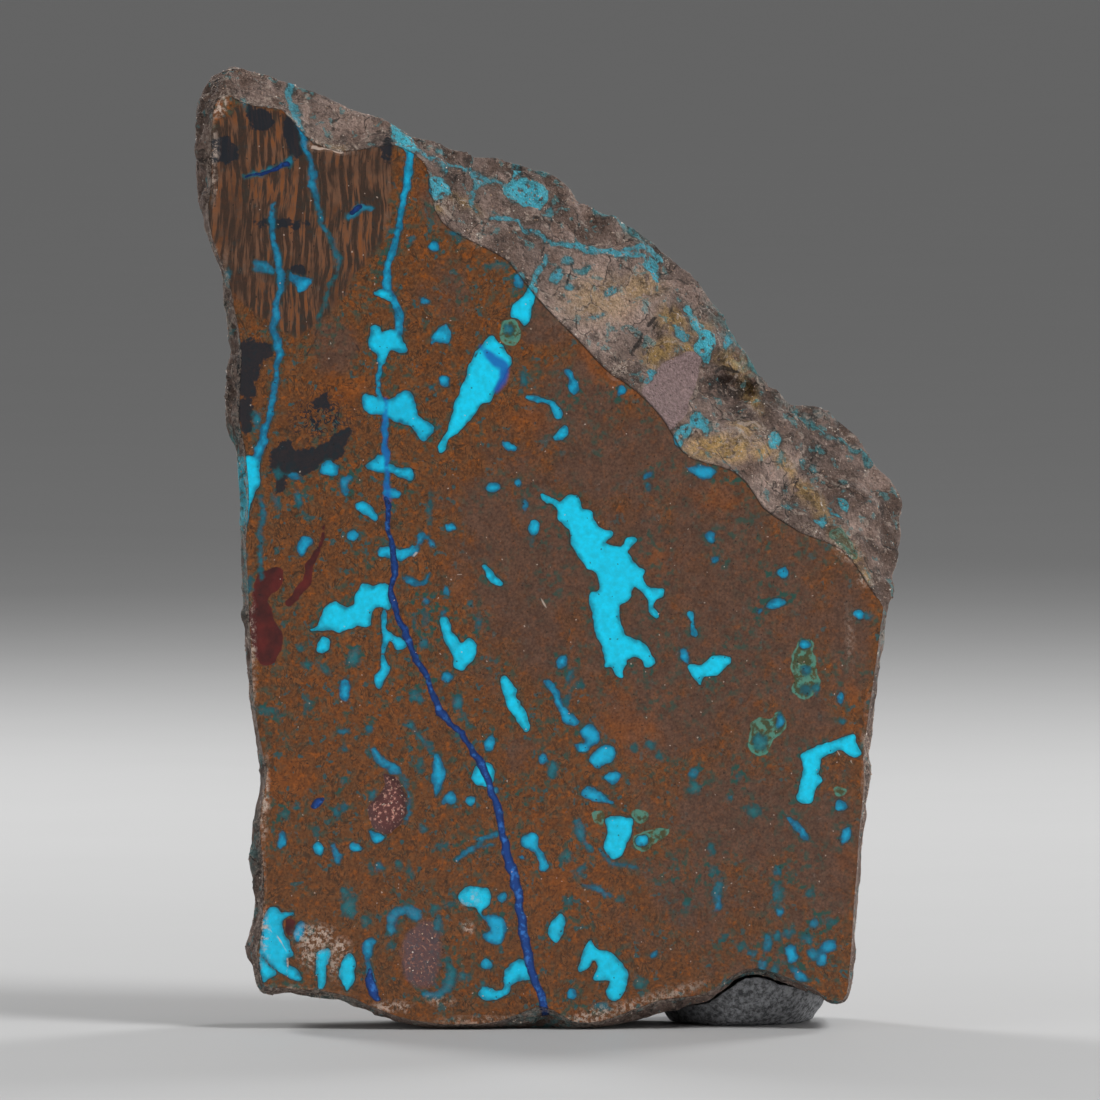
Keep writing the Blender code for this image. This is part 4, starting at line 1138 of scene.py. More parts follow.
# Materials
class Paint(Graph):
    """A material on the object's own coordinates."""

    speck_core = 0.55

    def __init__(self, name):
        self.material = bpy.data.materials.new(name)
        self.material.use_nodes = True
        super().__init__(self.material.node_tree)
        self.shader = self.graph.nodes["Principled BSDF"]
        self.place = self.add("ShaderNodeTexCoord", out="Object")
        self.clouds = {}

    def attribute(self, name):
        return self.add("ShaderNodeAttribute", out="Fac", attribute_name=name)

    def rise(self, value, low, high):
        """0 where value is below low, 1 above high, smooth between. It falls where low is above high."""
        values = {"Value": value, "From Min": low, "From Max": high}
        return self.add("ShaderNodeMapRange", values, interpolation_type="SMOOTHSTEP")

    def line(self, value, middle, low, high):
        """The same rise or fall, but of the distance between value and middle."""
        return self.rise(self.number("ABSOLUTE", self.number("SUBTRACT", value, middle)), low, high)

    def ranged(self, value, start, end, low=0.0, high=1.0):
        """From start to end as value goes from low to high."""
        values = {"Value": value, "From Min": low, "From Max": high, "To Min": start, "To Max": end}
        return self.add("ShaderNodeMapRange", values)

    def strayed(self, size, shift):
        """The object's coordinates, shifted by noise of this size."""
        values = {"Vector": self.place, "Scale": 1 / size, "Detail": 1.0}
        drift = self.scaled(self.add("ShaderNodeTexNoise", values, out="Color"), shift)
        return self.add("ShaderNodeVectorMath", {0: self.place, 1: drift}, operation="ADD")

    def stretched(self, size_x, size_y, size_z, place=None):
        """Coordinates in which these lengths are one unit."""
        scale = (1 / size_x, 1 / size_y, 1 / size_z)
        return self.add("ShaderNodeMapping", {"Vector": place or self.place, "Scale": scale})

    def cloud(self, size, detail=3.0, distortion=0.0, place=None, roughness=0.55):
        """Noise from 0 to 1 over this size in metres. The same noise is made only once."""
        values = {"Vector": place or self.place, "Scale": 1 / size, "Detail": detail,
                  "Distortion": distortion, "Roughness": roughness}
        key = tuple(values.values())
        if key not in self.clouds:
            self.clouds[key] = self.add("ShaderNodeTexNoise", values, out="Fac")
        return self.clouds[key]

    def specks(self, spacing, radius, warp):
        """Small scattered specks of this radius, with their spacing through the stone."""
        values = {"Vector": warp, "Scale": 1 / spacing}
        found = self.add("ShaderNodeTexVoronoi", values, out="Distance")
        return self.rise(found, radius / spacing, radius / spacing * self.speck_core)

    def over(self, share, under, colour):
        """One colour laid over another."""
        return self.add("ShaderNodeMix", {0: share, 6: under, 7: colour}, out=2, data_type="RGBA")

    def mottled(self, cloud, low, high, under, colour):
        """One colour in the blots of a noise on another."""
        return self.over(self.rise(cloud, low, high), under, colour)

    def shade(self, colour, share, low, high):
        """A colour made darker or lighter, from low to high, as share goes from 0 to 1."""
        return self.scaled(colour, self.ranged(share, low, high))

    def ragged(self, name, size, amount):
        """A marking's depth in millimetres, with its edge roughened by noise."""
        frayed = self.number("MULTIPLY_ADD", self.cloud(size), amount, -amount / 2)
        return self.number("ADD", self.attribute(name), frayed)

    def finish(self, colour, roughness, bump_height, bump_strength, bump_distance):
        bump = {"Height": bump_height, "Strength": bump_strength, "Distance": bump_distance}
        normal = self.add("ShaderNodeBump", bump)
        for name, value in (("Base Color", colour), ("Roughness", roughness), ("Normal", normal)):
            self.put(self.shader.inputs[name], value)
        return self.material


def matrix_colour(paint, finish):
    """The brown iron-stained matrix: orange brown and mauve brown in swirls with fine dark fibres."""
    wandering = paint.strayed(0.006, 0.0035)
    mauve = paint.number("MULTIPLY_ADD", paint.cloud(BLOTCH), 1.3, -0.65)
    mauve = paint.rise(paint.number("ADD", mauve, paint.attribute("mauve")), 0.2, 0.75)
    orange = paint.number("MULTIPLY_ADD", paint.cloud(PATCH), 1.4, -0.75)
    orange = paint.rise(paint.number("ADD", orange, paint.attribute("orange")), 0.05, 0.8)
    mauve = paint.times(mauve, 0.9)
    colour = paint.over(mauve, finish.orange_brown, finish.mauve_brown)
    colour = paint.over(paint.times(orange, 0.62), colour, finish.bright_orange)
    colour = paint.shade(colour, paint.cloud(BLOT), 0.5, 1.5)
    plain = paint.number("SUBTRACT", 1.15, mauve)
    fleck = paint.rise(paint.cloud(0.0008, place=wandering), 0.52, 0.66)
    fleck = paint.times(fleck, paint.times(plain, 0.75), clamp=True)
    colour = paint.over(fleck, colour, finish.bright_orange)
    swirls = paint.stretched(0.0015, 0.0015, 0.0025, wandering)
    lines = paint.line(paint.cloud(1.0, 3.0, 1.2, swirls), 0.5, 0.05, 0.01)
    blots = paint.rise(paint.cloud(1.0, 4.0, 1.2, swirls, 0.75), 0.54, 0.66)
    lines = paint.times(lines, paint.rise(paint.cloud(BLOT), 0.4, 0.6))
    fibre = paint.number("MAXIMUM", lines, blots)
    fibre = paint.times(fibre, plain)
    colour = paint.over(paint.times(fibre, 0.62, clamp=True), colour, finish.dark_fibre)
    return paint.shade(colour, paint.cloud(DUST, 1.0), 0.25, 1.75)


def stained(paint, colour, finish):
    """Green copper stain round the patches and in the soft stained areas."""
    near_patch = paint.rise(paint.attribute("turquoise"), -1.5, 0.0)
    amount = paint.number("MULTIPLY_ADD", near_patch, 0.75, paint.attribute("green_stain"))
    amount = paint.number("ADD", amount, paint.rise(paint.cloud(HAZE, 2.0), 0.42, 0.66))
    amount = paint.times(amount, paint.rise(paint.cloud(FLECK), 0.47, 0.66))
    colour = paint.over(paint.times(amount, 0.72, clamp=True), colour, finish.green_stain)
    flecks = paint.rise(paint.cloud(CRUMB), 0.62, 0.68)
    flecks = paint.times(flecks, paint.rise(paint.attribute("mauve"), 0.9, 0.3))
    return paint.over(paint.times(flecks, 0.8), colour, finish.teal_halo)


def striped(paint, colour, finish):
    """The dark stone at the top left, with upright brown streaks."""
    upright = paint.stretched(0.00052, 0.001, 0.0048, paint.strayed(0.012, 0.003))
    streak = paint.cloud(1.0, place=upright, roughness=0.6)
    streaks = paint.over(paint.rise(streak, 0.44, 0.6), finish.stripe_dark, finish.stripe_brown)
    warm = paint.rise(paint.cloud(HAZE, 2.0), 0.42, 0.6)
    warm = paint.times(paint.times(paint.rise(streak, 0.5, 0.62), warm), 0.6)
    streaks = paint.over(warm, streaks, finish.bright_orange)
    shadow = paint.rise(paint.cloud(BLOTCH), 0.44, 0.7)
    streaks = paint.over(paint.times(shadow, 0.6), streaks, finish.stripe_dark)
    share = paint.rise(paint.ragged("striped", CRUMB, 2.4), -0.5, 0.5)
    return paint.over(paint.times(share, 0.88), colour, streaks)


def broken_colour(paint, finish):
    """The broken stone of the slope and the rind: dusty mauve grey, with ochre, painted shade in its
    hollows, pits and cracks, and painted light on the lit slope and its facets.
    """
    colour = paint.mottled(paint.cloud(BLOTCH), 0.35, 0.65, finish.broken_grey, finish.broken_brown)
    # Partly the paler ground bevel, partly painted light on the lit slope
    colour = paint.over(paint.times(paint.attribute("pale_slope"), 0.8), colour, finish.broken_pale_and_lit)
    ochre = paint.times(paint.attribute("ochre"), paint.rise(paint.cloud(CRUMB), 0.3, 0.48))
    colour = paint.over(ochre, colour, finish.ochre)
    # Painted shadow in the slope's hollows and clefts
    dark = paint.times(paint.attribute("dark_slope"), paint.rise(paint.cloud(CHIP), 0.36, 0.56))
    colour = paint.over(paint.times(dark, 0.85), colour, finish.hollow_shade)
    facet = paint.rise(paint.attribute("facet"), -0.15, 0.15)
    colour = paint.over(facet, colour, finish.facet_lilac)
    coat = paint.times(paint.attribute("coat"), paint.rise(paint.cloud(CRUMB), 0.4, 0.58))
    colour = paint.over(paint.times(coat, 0.8), colour, finish.coat_teal)
    rugged = paint.rise(facet, 0.9, 0.1)
    # Painted shade in the broken stone's pits
    pit_shade = paint.times(paint.rise(paint.cloud(BLOT, 4.0, roughness=0.65), 0.5, 0.34), rugged)
    colour = paint.over(paint.times(pit_shade, 0.62), colour, finish.hollow_shade)
    bent = {"Vector": paint.strayed(0.002, 0.0024), "Scale": 1 / PLANE}
    # Painted light and shade: each flat plane of the broken stone made a little brighter or darker, as
    # facets turned to the light would be
    facet_light_and_shade = paint.add("ShaderNodeTexVoronoi", bent, out="Color")
    colour = paint.shade(colour, paint.number("MAXIMUM", facet_light_and_shade, paint.times(facet, 0.6)), 0.62, 1.36)
    crumbs = paint.times(paint.rise(paint.cloud(CHIP), 0.59, 0.66), rugged)
    colour = paint.over(paint.times(crumbs, 0.6), colour, finish.coat_teal)
    edge = paint.add("ShaderNodeTexVoronoi", bent, out="Distance", feature="DISTANCE_TO_EDGE")
    # Painted shade in the thin cracks along the planes' edges
    plane_crack_shade = paint.times(paint.rise(edge, 0.035, 0.008), paint.rise(paint.cloud(HAZE, 2.0), 0.42, 0.55))
    plane_crack_shade = paint.times(plane_crack_shade, rugged)
    colour = paint.over(paint.times(plane_crack_shade, 0.75), colour, finish.hollow_shade)
    ledge = paint.times(paint.rise(edge, 0.08, 0.04), paint.rise(paint.cloud(CRUMB), 0.5, 0.62))
    ledge = paint.times(ledge, rugged)
    colour = paint.over(paint.times(ledge, 0.5), colour, finish.pale_crust)
    colour = paint.shade(colour, paint.cloud(SAND, roughness=0.75), 0.05, 2.1)
    speck = paint.times(paint.rise(paint.cloud(DUST, 1.0), 0.66, 0.74), paint.rise(facet, 1.0, 0.0))
    return paint.over(paint.times(speck, 0.6), colour, finish.pale_crust)


def slab_material(finish):
    """All the stones of the slab in one material, each where its own depth or weight says."""
    paint = Paint("chrysocolla_in_brown_matrix")
    rough = paint.attribute("rough")
    colour = striped(paint, stained(paint, matrix_colour(paint, finish), finish), finish)
    squiggle = paint.line(paint.cloud(0.0013, 1.0, 1.4), 0.5, 0.05, 0.02)
    squiggle = paint.times(squiggle, paint.attribute("squiggle"))
    colour = paint.over(squiggle, colour, finish.dark_stone)
    colour = paint.over(paint.rise(rough, 0.25, 0.75), colour, broken_colour(paint, finish))
    frayed = paint.number("MULTIPLY_ADD", paint.cloud(POWDER, 2.0), 0.9, -0.45)
    dark = paint.number("ADD", paint.ragged("dark_stone", CRUMB, 2.2), frayed)
    colour = paint.over(paint.times(paint.rise(dark, -0.2, 0.15), 0.93), colour, finish.dark_stone)
    red = paint.rise(paint.ragged("red_stone", CRUMB, 0.5), -0.08, 0.08)
    red_colour = paint.mottled(paint.cloud(BLOT), 0.3, 0.72, finish.red_dark, finish.red_bright)
    colour = paint.over(paint.times(red, 0.95), colour, red_colour)
    powder = paint.cloud(POWDER, 2.0)
    grainy = paint.mottled(powder, 0.53, 0.7, finish.granular_brown, finish.granular_pale)
    grainy = paint.shade(grainy, paint.rise(paint.attribute("granular"), 0.0, 1.4), 0.6, 1.15)
    granular = paint.rise(paint.ragged("granular", CRUMB, 0.4), -0.06, 0.1)
    colour = paint.over(granular, colour, grainy)
    purple = paint.mottled(powder, 0.54, 0.72, finish.purple, finish.granular_pale)
    soft_purple = paint.rise(paint.ragged("purple", CRUMB, 1.6), -0.5, 0.5)
    colour = paint.over(paint.times(soft_purple, 0.6), colour, purple)

    inside = paint.rise(paint.ragged("green_oval", GRIT, 0.3), -0.04, 0.08)
    green_colour = paint.mottled(paint.cloud(FLECK), 0.44, 0.6, finish.green_dark, finish.green_light)
    rim = paint.line(paint.attribute("green_oval"), 0.18, 0.22, 0.02)
    rim = paint.times(rim, paint.rise(paint.cloud(CRUMB), 0.36, 0.6))
    green_colour = paint.over(rim, green_colour, finish.green_light)
    colour = paint.over(paint.times(inside, 0.7), colour, green_colour)

    tone = paint.attribute("turquoise_tone")
    fray = paint.ranged(tone, 0.85, 0.22, 0.25, 0.85)
    fray = paint.times(fray, paint.number("SUBTRACT", paint.cloud(FLECK), 0.5))
    depth = paint.number("ADD", paint.attribute("turquoise"), fray)
    softness = paint.ranged(tone, 0.34, 0.08, 0.15, 0.8)
    share = paint.rise(paint.number("DIVIDE", depth, softness), -0.6, 0.7)
    solid = paint.ranged(tone, 0.55, 0.97, 0.1, 0.6)
    halo = paint.times(paint.rise(depth, -0.4, 0.05), paint.rise(paint.cloud(GRIT), 0.36, 0.6))
    colour = paint.over(paint.times(halo, 0.75), colour, finish.teal_halo)
    outline = paint.line(depth, -0.07, 0.13, 0.02)
    smooth_face = paint.rise(rough, 0.6, 0.2)
    outline = paint.times(paint.times(outline, smooth_face), paint.rise(tone, 0.2, 0.9))
    colour = paint.over(paint.times(outline, 0.75), colour, finish.patch_outline)
    bright = paint.over(paint.rise(tone, 0.15, 0.6), finish.turquoise_dull, finish.turquoise_medium)
    bright = paint.over(paint.rise(tone, 0.55, 0.98), bright, finish.turquoise_bright)
    core = paint.rise(paint.number("ADD", depth, paint.cloud(CRUMB)), 0.4, 1.3)
    core_glow = paint.times(core, paint.rise(tone, 0.2, 1.0))
    bright = paint.shade(bright, core, 0.42, 1.08)
    bright = paint.over(paint.times(core_glow, 0.7), bright, finish.turquoise_bright)
    bright = paint.shade(bright, paint.cloud(GRIT), 0.68, 1.32)
    pale = paint.over(0.42, bright, finish.turquoise_weathered)
    bright = paint.over(rough, bright, paint.shade(pale, paint.cloud(POWDER, 2.0), 0.65, 1.6))
    worn = paint.rise(paint.cloud(FLECK), 0.34, 0.5)
    share = paint.times(share, paint.number("MAXIMUM", worn, smooth_face))
    colour = paint.over(paint.times(share, solid), colour, bright)

    thread = paint.rise(paint.attribute("blue_thread"), -0.3, 0.4)
    colour = paint.over(paint.times(thread, 0.85), colour, finish.thread_blue)
    blue_depth = paint.ragged("deep_blue", GRIT, 0.14)
    blue = paint.mottled(paint.cloud(FLECK), 0.5, 0.68, finish.deep_blue, finish.deep_blue_light)
    blue = paint.shade(blue, paint.rise(blue_depth, 0.0, 0.4), 0.32, 1.15)
    colour = paint.over(paint.rise(blue_depth, -0.05, 0.06), colour, blue)

    # Painted shade in the traced cracks
    crack = paint.rise(paint.ragged("crack", GRIT, 0.16), -0.06, 0.1)
    colour = paint.over(paint.times(crack, 0.8), colour, finish.hollow_shade)
    crust = paint.number("MAXIMUM", paint.attribute("pale_crust"), paint.attribute("worn_edge"))
    crust = paint.times(crust, paint.rise(paint.cloud(SAND, roughness=0.75), 0.45, 0.6))
    colour = paint.over(paint.times(crust, 0.85), colour, finish.pale_crust)
    scratch = paint.rise(paint.attribute("scratch"), -0.05, 0.06)
    colour = paint.over(paint.times(scratch, 0.7), colour, finish.pale_crust)
    shaken = paint.strayed(DUST, DUST)
    black = paint.times(paint.specks(0.0013, 0.00015, shaken), 0.75)
    colour = paint.over(black, colour, finish.black_speck)
    pale = paint.times(paint.specks(0.0018, 0.00012, shaken), 0.6)
    colour = paint.over(pale, colour, finish.pale_crust)
    colour = paint.over(paint.times(paint.attribute("sawn"), 0.22), colour, finish.broken_grey)

    dull = paint.number("MAXIMUM", rough, paint.times(paint.attribute("pale_crust"), 0.8))
    dull = paint.number("MAXIMUM", dull, paint.times(granular, 0.6))
    dull = paint.number("MAXIMUM", dull, paint.times(paint.attribute("sawn"), 0.7))
    roughness = paint.ranged(dull, finish.polish_roughness, finish.broken_roughness)
    roughness = paint.number("ADD", roughness, paint.times(paint.cloud(CRUMB), 0.1))
    fine = paint.cloud(GRIT, 4.0, roughness=0.75)
    height = paint.times(fine, paint.number("ADD", paint.times(rough, 0.98), 0.006))
    saw_marks = paint.cloud(1.0, 1.0, place=paint.stretched(0.02, 0.02, 0.0007))
    saw_marks = paint.times(paint.times(saw_marks, paint.attribute("sawn")), 0.05)
    height = paint.number("ADD", height, saw_marks)
    return paint.finish(colour, roughness, height, 1.0, 0.0026)


def grain_material(finish):
    """Small crystals, from white through tan to pink."""
    paint = Paint("pale_crystal_grains")
    colour = paint.mottled(paint.cloud(CRUMB, 2.0), 0.4, 0.62, finish.grain_tan, finish.grain_white)
    colour = paint.mottled(paint.cloud(0.0021, 2.0), 0.52, 0.64, colour, finish.grain_brown)
    return paint.finish(colour, 0.42, paint.cloud(0.0002, 2.0), 0.3, 0.0001)


def lump_material(finish):
    """Matt grey putty with fine light and dark speckles, paler to the right."""
    paint = Paint("grey_putty")
    speckle = paint.cloud(finish.speckle_size, distortion=0.2, roughness=0.75)
    colour = paint.over(paint.rise(speckle, 0.34, 0.66), finish.grey_dark, finish.grey_light)
    colour = paint.shade(colour, paint.cloud(HAZE, 2.0), 0.75, 1.25)
    across_lump = paint.add("ShaderNodeSeparateXYZ", {0: paint.place}, out="X")
    colour = paint.shade(colour, paint.rise(across_lump, LUMP_LOW.x, LUMP_HIGH.x), 0.75, 1.3)
    return paint.finish(colour, 0.85, speckle, 0.5, 0.0002)


def floor_material(stage):
    paint = Paint("pale_floor")
    colour = paint.shade(stage.floor_colour, paint.cloud(0.05), 0.98, 1.02)
    return paint.finish(colour, 0.6, paint.cloud(0.002, 2.0), 0.02, 0.0001)


# Settings
def length(name, description, default):
    return FloatProperty(name=name, description=description, default=default, min=0.0, precision=5,
                         subtype="DISTANCE", unit="LENGTH")


def share_of(name, description, default):
    return FloatProperty(name=name, description=description, default=default, min=0.0, soft_max=1.0,
                         subtype="FACTOR")


def power_of(name, description, default):
    return FloatProperty(name=name, description=description, default=default, unit="POWER")


def colour_of(name, description, red, green, blue):
    return FloatVectorProperty(name=name, description=description, subtype="COLOR", size=3, min=0.0,
                               max=1.0, default=linear_colour(red, green, blue))


class SlabFinish(bpy.types.PropertyGroup):
    """How fine the slab's surface is cut and how its stones look."""

    face_step: length("Flat face step", "Triangle side that the flat faces start from", 0.00104)
    plain_step: length("Plain step", "Longest edge on the polished face away from markings", 0.0006)
    marking_step: length("Marking step", "Longest edge where a marking has its edge", 0.0003)
    marking_margin: length("Marking margin", "How far from a marking's edge the mesh stays fine", 0.00019)
    slope_step: length("Slope step", "Longest edge on the broken slope and the rim", 0.00072)
    wall_step: length("Wall step", "Longest edge on the walls behind the rim", 0.0011)
    back_step: length("Back step", "Longest edge on the sawn back", 0.0012)
    slope_facing: FloatProperty(name="Slope facing", default=-0.25, min=-1.0, max=1.0,
                                description="Stone whose normal's y is below this is cut fine")
    pit_depth: length("Pit depth", "Depth of the broken stone's pits", 0.0024)
    pit_size: length("Pit size", "Width of the broken stone's pits", 0.0024)
    grain_depth: length("Grain depth", "Depth of the broken stone's grain", 0.0006)
    grain_size: length("Grain size", "Width of the broken stone's grain", 0.0009)
    worn_depth: length("Worn depth", "How far behind the polished face the worn edge reaches", 0.0016)
    wall_relief: share_of("Wall relief", "How much of the relief the walls keep", 0.28)
    crisp_edge: length("Crisp edge", "How far behind the polished face relief is full", 0.0022)
    hollow_share: share_of("Hollow share", "How deep the grainy stone lies, in pit depths", 0.12)
    facet_depth: length("Facet depth", "Height of the flat-sided bumps on the broken stone", 0.0022)
    facet_size: length("Facet size", "Width of the flat-sided bumps on the broken stone", 0.0042)
    ragged_size: length("Ragged size", "How far apart the bends of the markings' outlines lie", 0.0017)
    ragged_shift: length("Ragged shift", "How far the markings' outlines stray", 0.00034)
    wander_size: length("Vein wander size", "How far apart the veins' turns lie inside the slab", 0.015)
    wander_share: share_of("Vein wander", "The veins' sideways drift for each step into the slab", 0.4)
    seed: IntProperty(name="Seed", description="Which way the markings' outlines stray", default=7, min=1)
    polish_roughness: share_of("Polish roughness", "Roughness of the polished face", 0.2)
    broken_roughness: share_of("Broken roughness", "Roughness of broken stone", 0.78)
    orange_brown: colour_of("Orange brown", "Iron-stained matrix", 112, 68, 34)
    mauve_brown: colour_of("Mauve brown", "Denser matrix", 92, 66, 53)
    bright_orange: colour_of("Bright orange", "Limonite flecks", 142, 76, 22)
    dark_fibre: colour_of("Dark fibre", "Fine dark swirls in the matrix", 48, 38, 26)
    green_stain: colour_of("Green stain", "Copper stain in the matrix", 40, 78, 68)
    stripe_dark: colour_of("Stripe dark", "Ground of the striped stone", 52, 41, 35)
    stripe_brown: colour_of("Stripe brown", "Streaks of the striped stone", 116, 82, 62)
    dark_stone: colour_of("Dark stone", "Blue-black stone", 26, 32, 40)
    red_dark: colour_of("Red dark", "Red copper oxide", 58, 20, 22)
    red_bright: colour_of("Red bright", "Red copper oxide where it is clear", 98, 28, 27)
    granular_brown: colour_of("Granular brown", "Ground of the grainy hollow", 90, 48, 46)
    granular_pale: colour_of("Granular pale", "Grains of the hollow", 196, 140, 124)
    purple: colour_of("Purple", "Grainy purple stone", 92, 78, 90)
    green_dark: colour_of("Green dark", "Inside of the green ovals", 56, 78, 48)
    green_light: colour_of("Green light", "Rims of the green ovals", 82, 158, 138)
    teal_halo: colour_of("Teal halo", "Dark teal stone round the patches and in small flecks", 24, 84, 88)
    patch_outline: colour_of("Patch outline", "Dark line round a patch", 40, 40, 34)
    turquoise_dull: colour_of("Turquoise dull", "Dull teal stone", 30, 116, 122)
    turquoise_medium: colour_of("Turquoise medium", "Blue-green stone", 14, 140, 190)
    turquoise_bright: colour_of("Turquoise bright", "Bright cyan stone", 2, 212, 248)
    turquoise_weathered: colour_of("Turquoise weathered", "Turquoise on broken stone", 130, 214, 216)
    thread_blue: colour_of("Thread blue", "Blue thread in the pale vein", 16, 88, 180)
    deep_blue: colour_of("Deep blue", "The blue vein", 16, 60, 130)
    deep_blue_light: colour_of("Deep blue light", "Clear parts of the blue vein", 44, 110, 190)
    broken_grey: colour_of("Broken grey", "Broken stone", 158, 134, 123)
    # Paler ground stone of the slope, partly painted light where the slope is lit
    broken_pale_and_lit: colour_of("Broken pale", "The paler ground strip of the slope", 222, 192, 178)
    broken_brown: colour_of("Broken brown", "Broken stone, brown parts", 118, 94, 82)
    ochre: colour_of("Ochre", "Ochre crust on the slope", 206, 166, 102)
    # Painted shade for the stone's hollows, pits and cracks
    hollow_shade: colour_of("Dark hollow", "Shaded hollows and cracks", 42, 36, 34)
    facet_lilac: colour_of("Lilac facet", "The smooth scoop on the slope", 164, 138, 136)
    coat_teal: colour_of("Teal coat", "Copper crust on the broken stone", 84, 156, 160)
    black_speck: colour_of("Black specks", "Small dark grains in the matrix", 30, 27, 24)
    pale_crust: colour_of("Pale crust", "Pale bruised and dusty stone", 214, 192, 176)


class GrainFinish(bpy.types.PropertyGroup):
    """The pale crystals on the broken stone."""

    density: FloatProperty(name="Density", description="Crystals on a square metre", min=0.0,
                           default=1.6e6)
    smallest: length("Smallest", "Radius of the smallest crystal", 0.00005)
    largest: length("Largest", "Radius of the largest crystal", 0.00017)
    seed: IntProperty(name="Seed", description="Which random places the crystals take", default=4, min=0)
    grain_white: colour_of("White", "Pale crystals", 226, 212, 200)
    grain_tan: colour_of("Tan", "Tan crystals", 184, 150, 124)
    grain_brown: colour_of("Brown", "Brown crystals", 120, 92, 80)


class LumpFinish(bpy.types.PropertyGroup):
    """The grey prop lump."""

    mesh_step: length("Mesh step", "Longest edge on the lump", 0.0008)
    speckle_size: length("Speckle size", "Width of the light and dark speckles", 0.0007)
    dent_depth: length("Dent depth", "Depth of the lump's fine dents", 0.00018)
    dent_size: length("Dent size", "Width of the lump's fine dents", 0.0016)
    grey_dark: colour_of("Dark grey", "Dark speckles", 74, 75, 77)
    grey_light: colour_of("Light grey", "Light speckles", 156, 157, 160)


class StageSetup(bpy.types.PropertyGroup):
    """The camera, the lights and the floor."""

    distance: length("Camera distance", "From the polished face to the camera", 2.5)
    elevation: FloatProperty(name="Elevation", description="The camera's height above level",
                             subtype="ANGLE", unit="ROTATION", default=math.radians(2.5))
    floor_size: length("Floor size", "Half width of the floor", 30.0)
    key_power: power_of("Key light", "Power of the large light above", 12.0)
    side_power: power_of("Side light", "Power of each light beside", 2.2)
    rim_power: power_of("Rim light", "Power of each light behind", 4.5)
    sky: FloatProperty(name="Sky", description="Brightness of the pale surroundings", min=0.0,
                       default=0.22)
    floor_colour: colour_of("Floor", "The plain pale floor", 186, 186, 186)


# Operators
class STONE_OT_slab(bpy.types.Operator):
    """Makes the slab's surface with its markings and broken relief"""

    bl_idname = "stone_slab.make_slab"
    bl_label = "Make the slab"

    even_rounds = 3
    even_share = 0.5
    facet_calm = 0.85

    def execute(self, context):
        finish = context.scene.slab_finish
        noise.seed_set(finish.seed)
        points, faces = slab_arrays(finish)
        flat_front, flat_back = at_level(points, SLAB_LOW.y), at_level(points, SLAB_HIGH.y)
        on_foot = points[:, 2] < SLAB_LOW.z + FLAT_GAP
        free = ~(flat_front | flat_back | on_foot)
        points = even_out(points, faces, free.astype(float), self.even_rounds, self.even_share)
        normals = corner_normals(points, faces)
        values = markings(points, normals, finish)
        facet = smooth(values["facet"], -0.2, 0.3)
        purple = 0.5 * smooth(values["purple"], -0.2, 1.2)
        sunk = np.maximum(smooth(values["granular"], -0.1, 0.7), purple)
        facing = finish.wall_relief + (1 - finish.wall_relief) * smooth(-normals[:, 1], 0.1, 0.6)
        behind = smooth(points[:, 1] - SLAB_LOW.y, 0.0, finish.crisp_edge)
        values["relief"] = np.where(free, facing, 0.0) * (1 - self.facet_calm * facet) * behind
        values["hollow"] = np.where(flat_front, finish.hollow_share * sunk, 0.0)
        crust = values["pale_crust"]
        on_face = 0.9 * crust ** 2 + 0.8 * sunk
        on_broken = (0.25 + 1.2 * crust) * (1 - facet)
        values["grains"] = np.where(flat_front, on_face, on_broken)
        values["grains"] *= values["foot"] * np.where(flat_back, 0.0, 1.0)
        base = mesh_object("slab_before_relief", points, faces)
        store(base.data, values)
        tree = relief_tree(slab_material(finish))
        sizes = {name: getattr(finish, name.lower().replace(" ", "_")) for name in RELIEF_SIZES}
        slab = apply_tree(base, tree, sizes, "polished_slab")
        bpy.data.objects.remove(base)
        keep_in_box(slab.data, SLAB_LOW, SLAB_HIGH)
        sharpen_between(slab.data, flat_faces(slab.data, values["rough"]))
        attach(slab, "root")
        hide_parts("slab")
        return {"FINISHED"}


def flat_faces(mesh, rough):
    """Which faces have all their corners on the polished face or the sawn back."""
    corners = np.zeros(len(mesh.loops), np.int32)
    mesh.loops.foreach_get("vertex_index", corners)
    return (np.asarray(rough)[corners.reshape(-1, 3)] == 0).all(axis=1)


def keep_in_box(mesh, low, high):
    """Pulls in any corner that relief has pushed out of the CAD box."""
    places = np.zeros(len(mesh.vertices) * 3, np.float32)
    mesh.vertices.foreach_get("co", places)
    mesh.vertices.foreach_set("co", np.clip(places.reshape(-1, 3), low, high).ravel())
    mesh.update()


class STONE_OT_grains(bpy.types.Operator):
    """Scatters pale crystals on the slab's broken and bruised stone"""

    bl_idname = "stone_slab.make_grains"
    bl_label = "Make the crystals"

    def execute(self, context):
        finish = context.scene.grain_finish
        slab = bpy.data.objects["polished_slab"]
        sizes = {"Density": finish.density, "Smallest": finish.smallest, "Largest": finish.largest,
                 "Seed": finish.seed}
        grains = apply_tree(slab, grain_tree(grain_material(finish)), sizes, "pale_crystals")
        keep_in_box(grains.data, SLAB_LOW, SLAB_HIGH)
        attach(grains, "root")
        return {"FINISHED"}


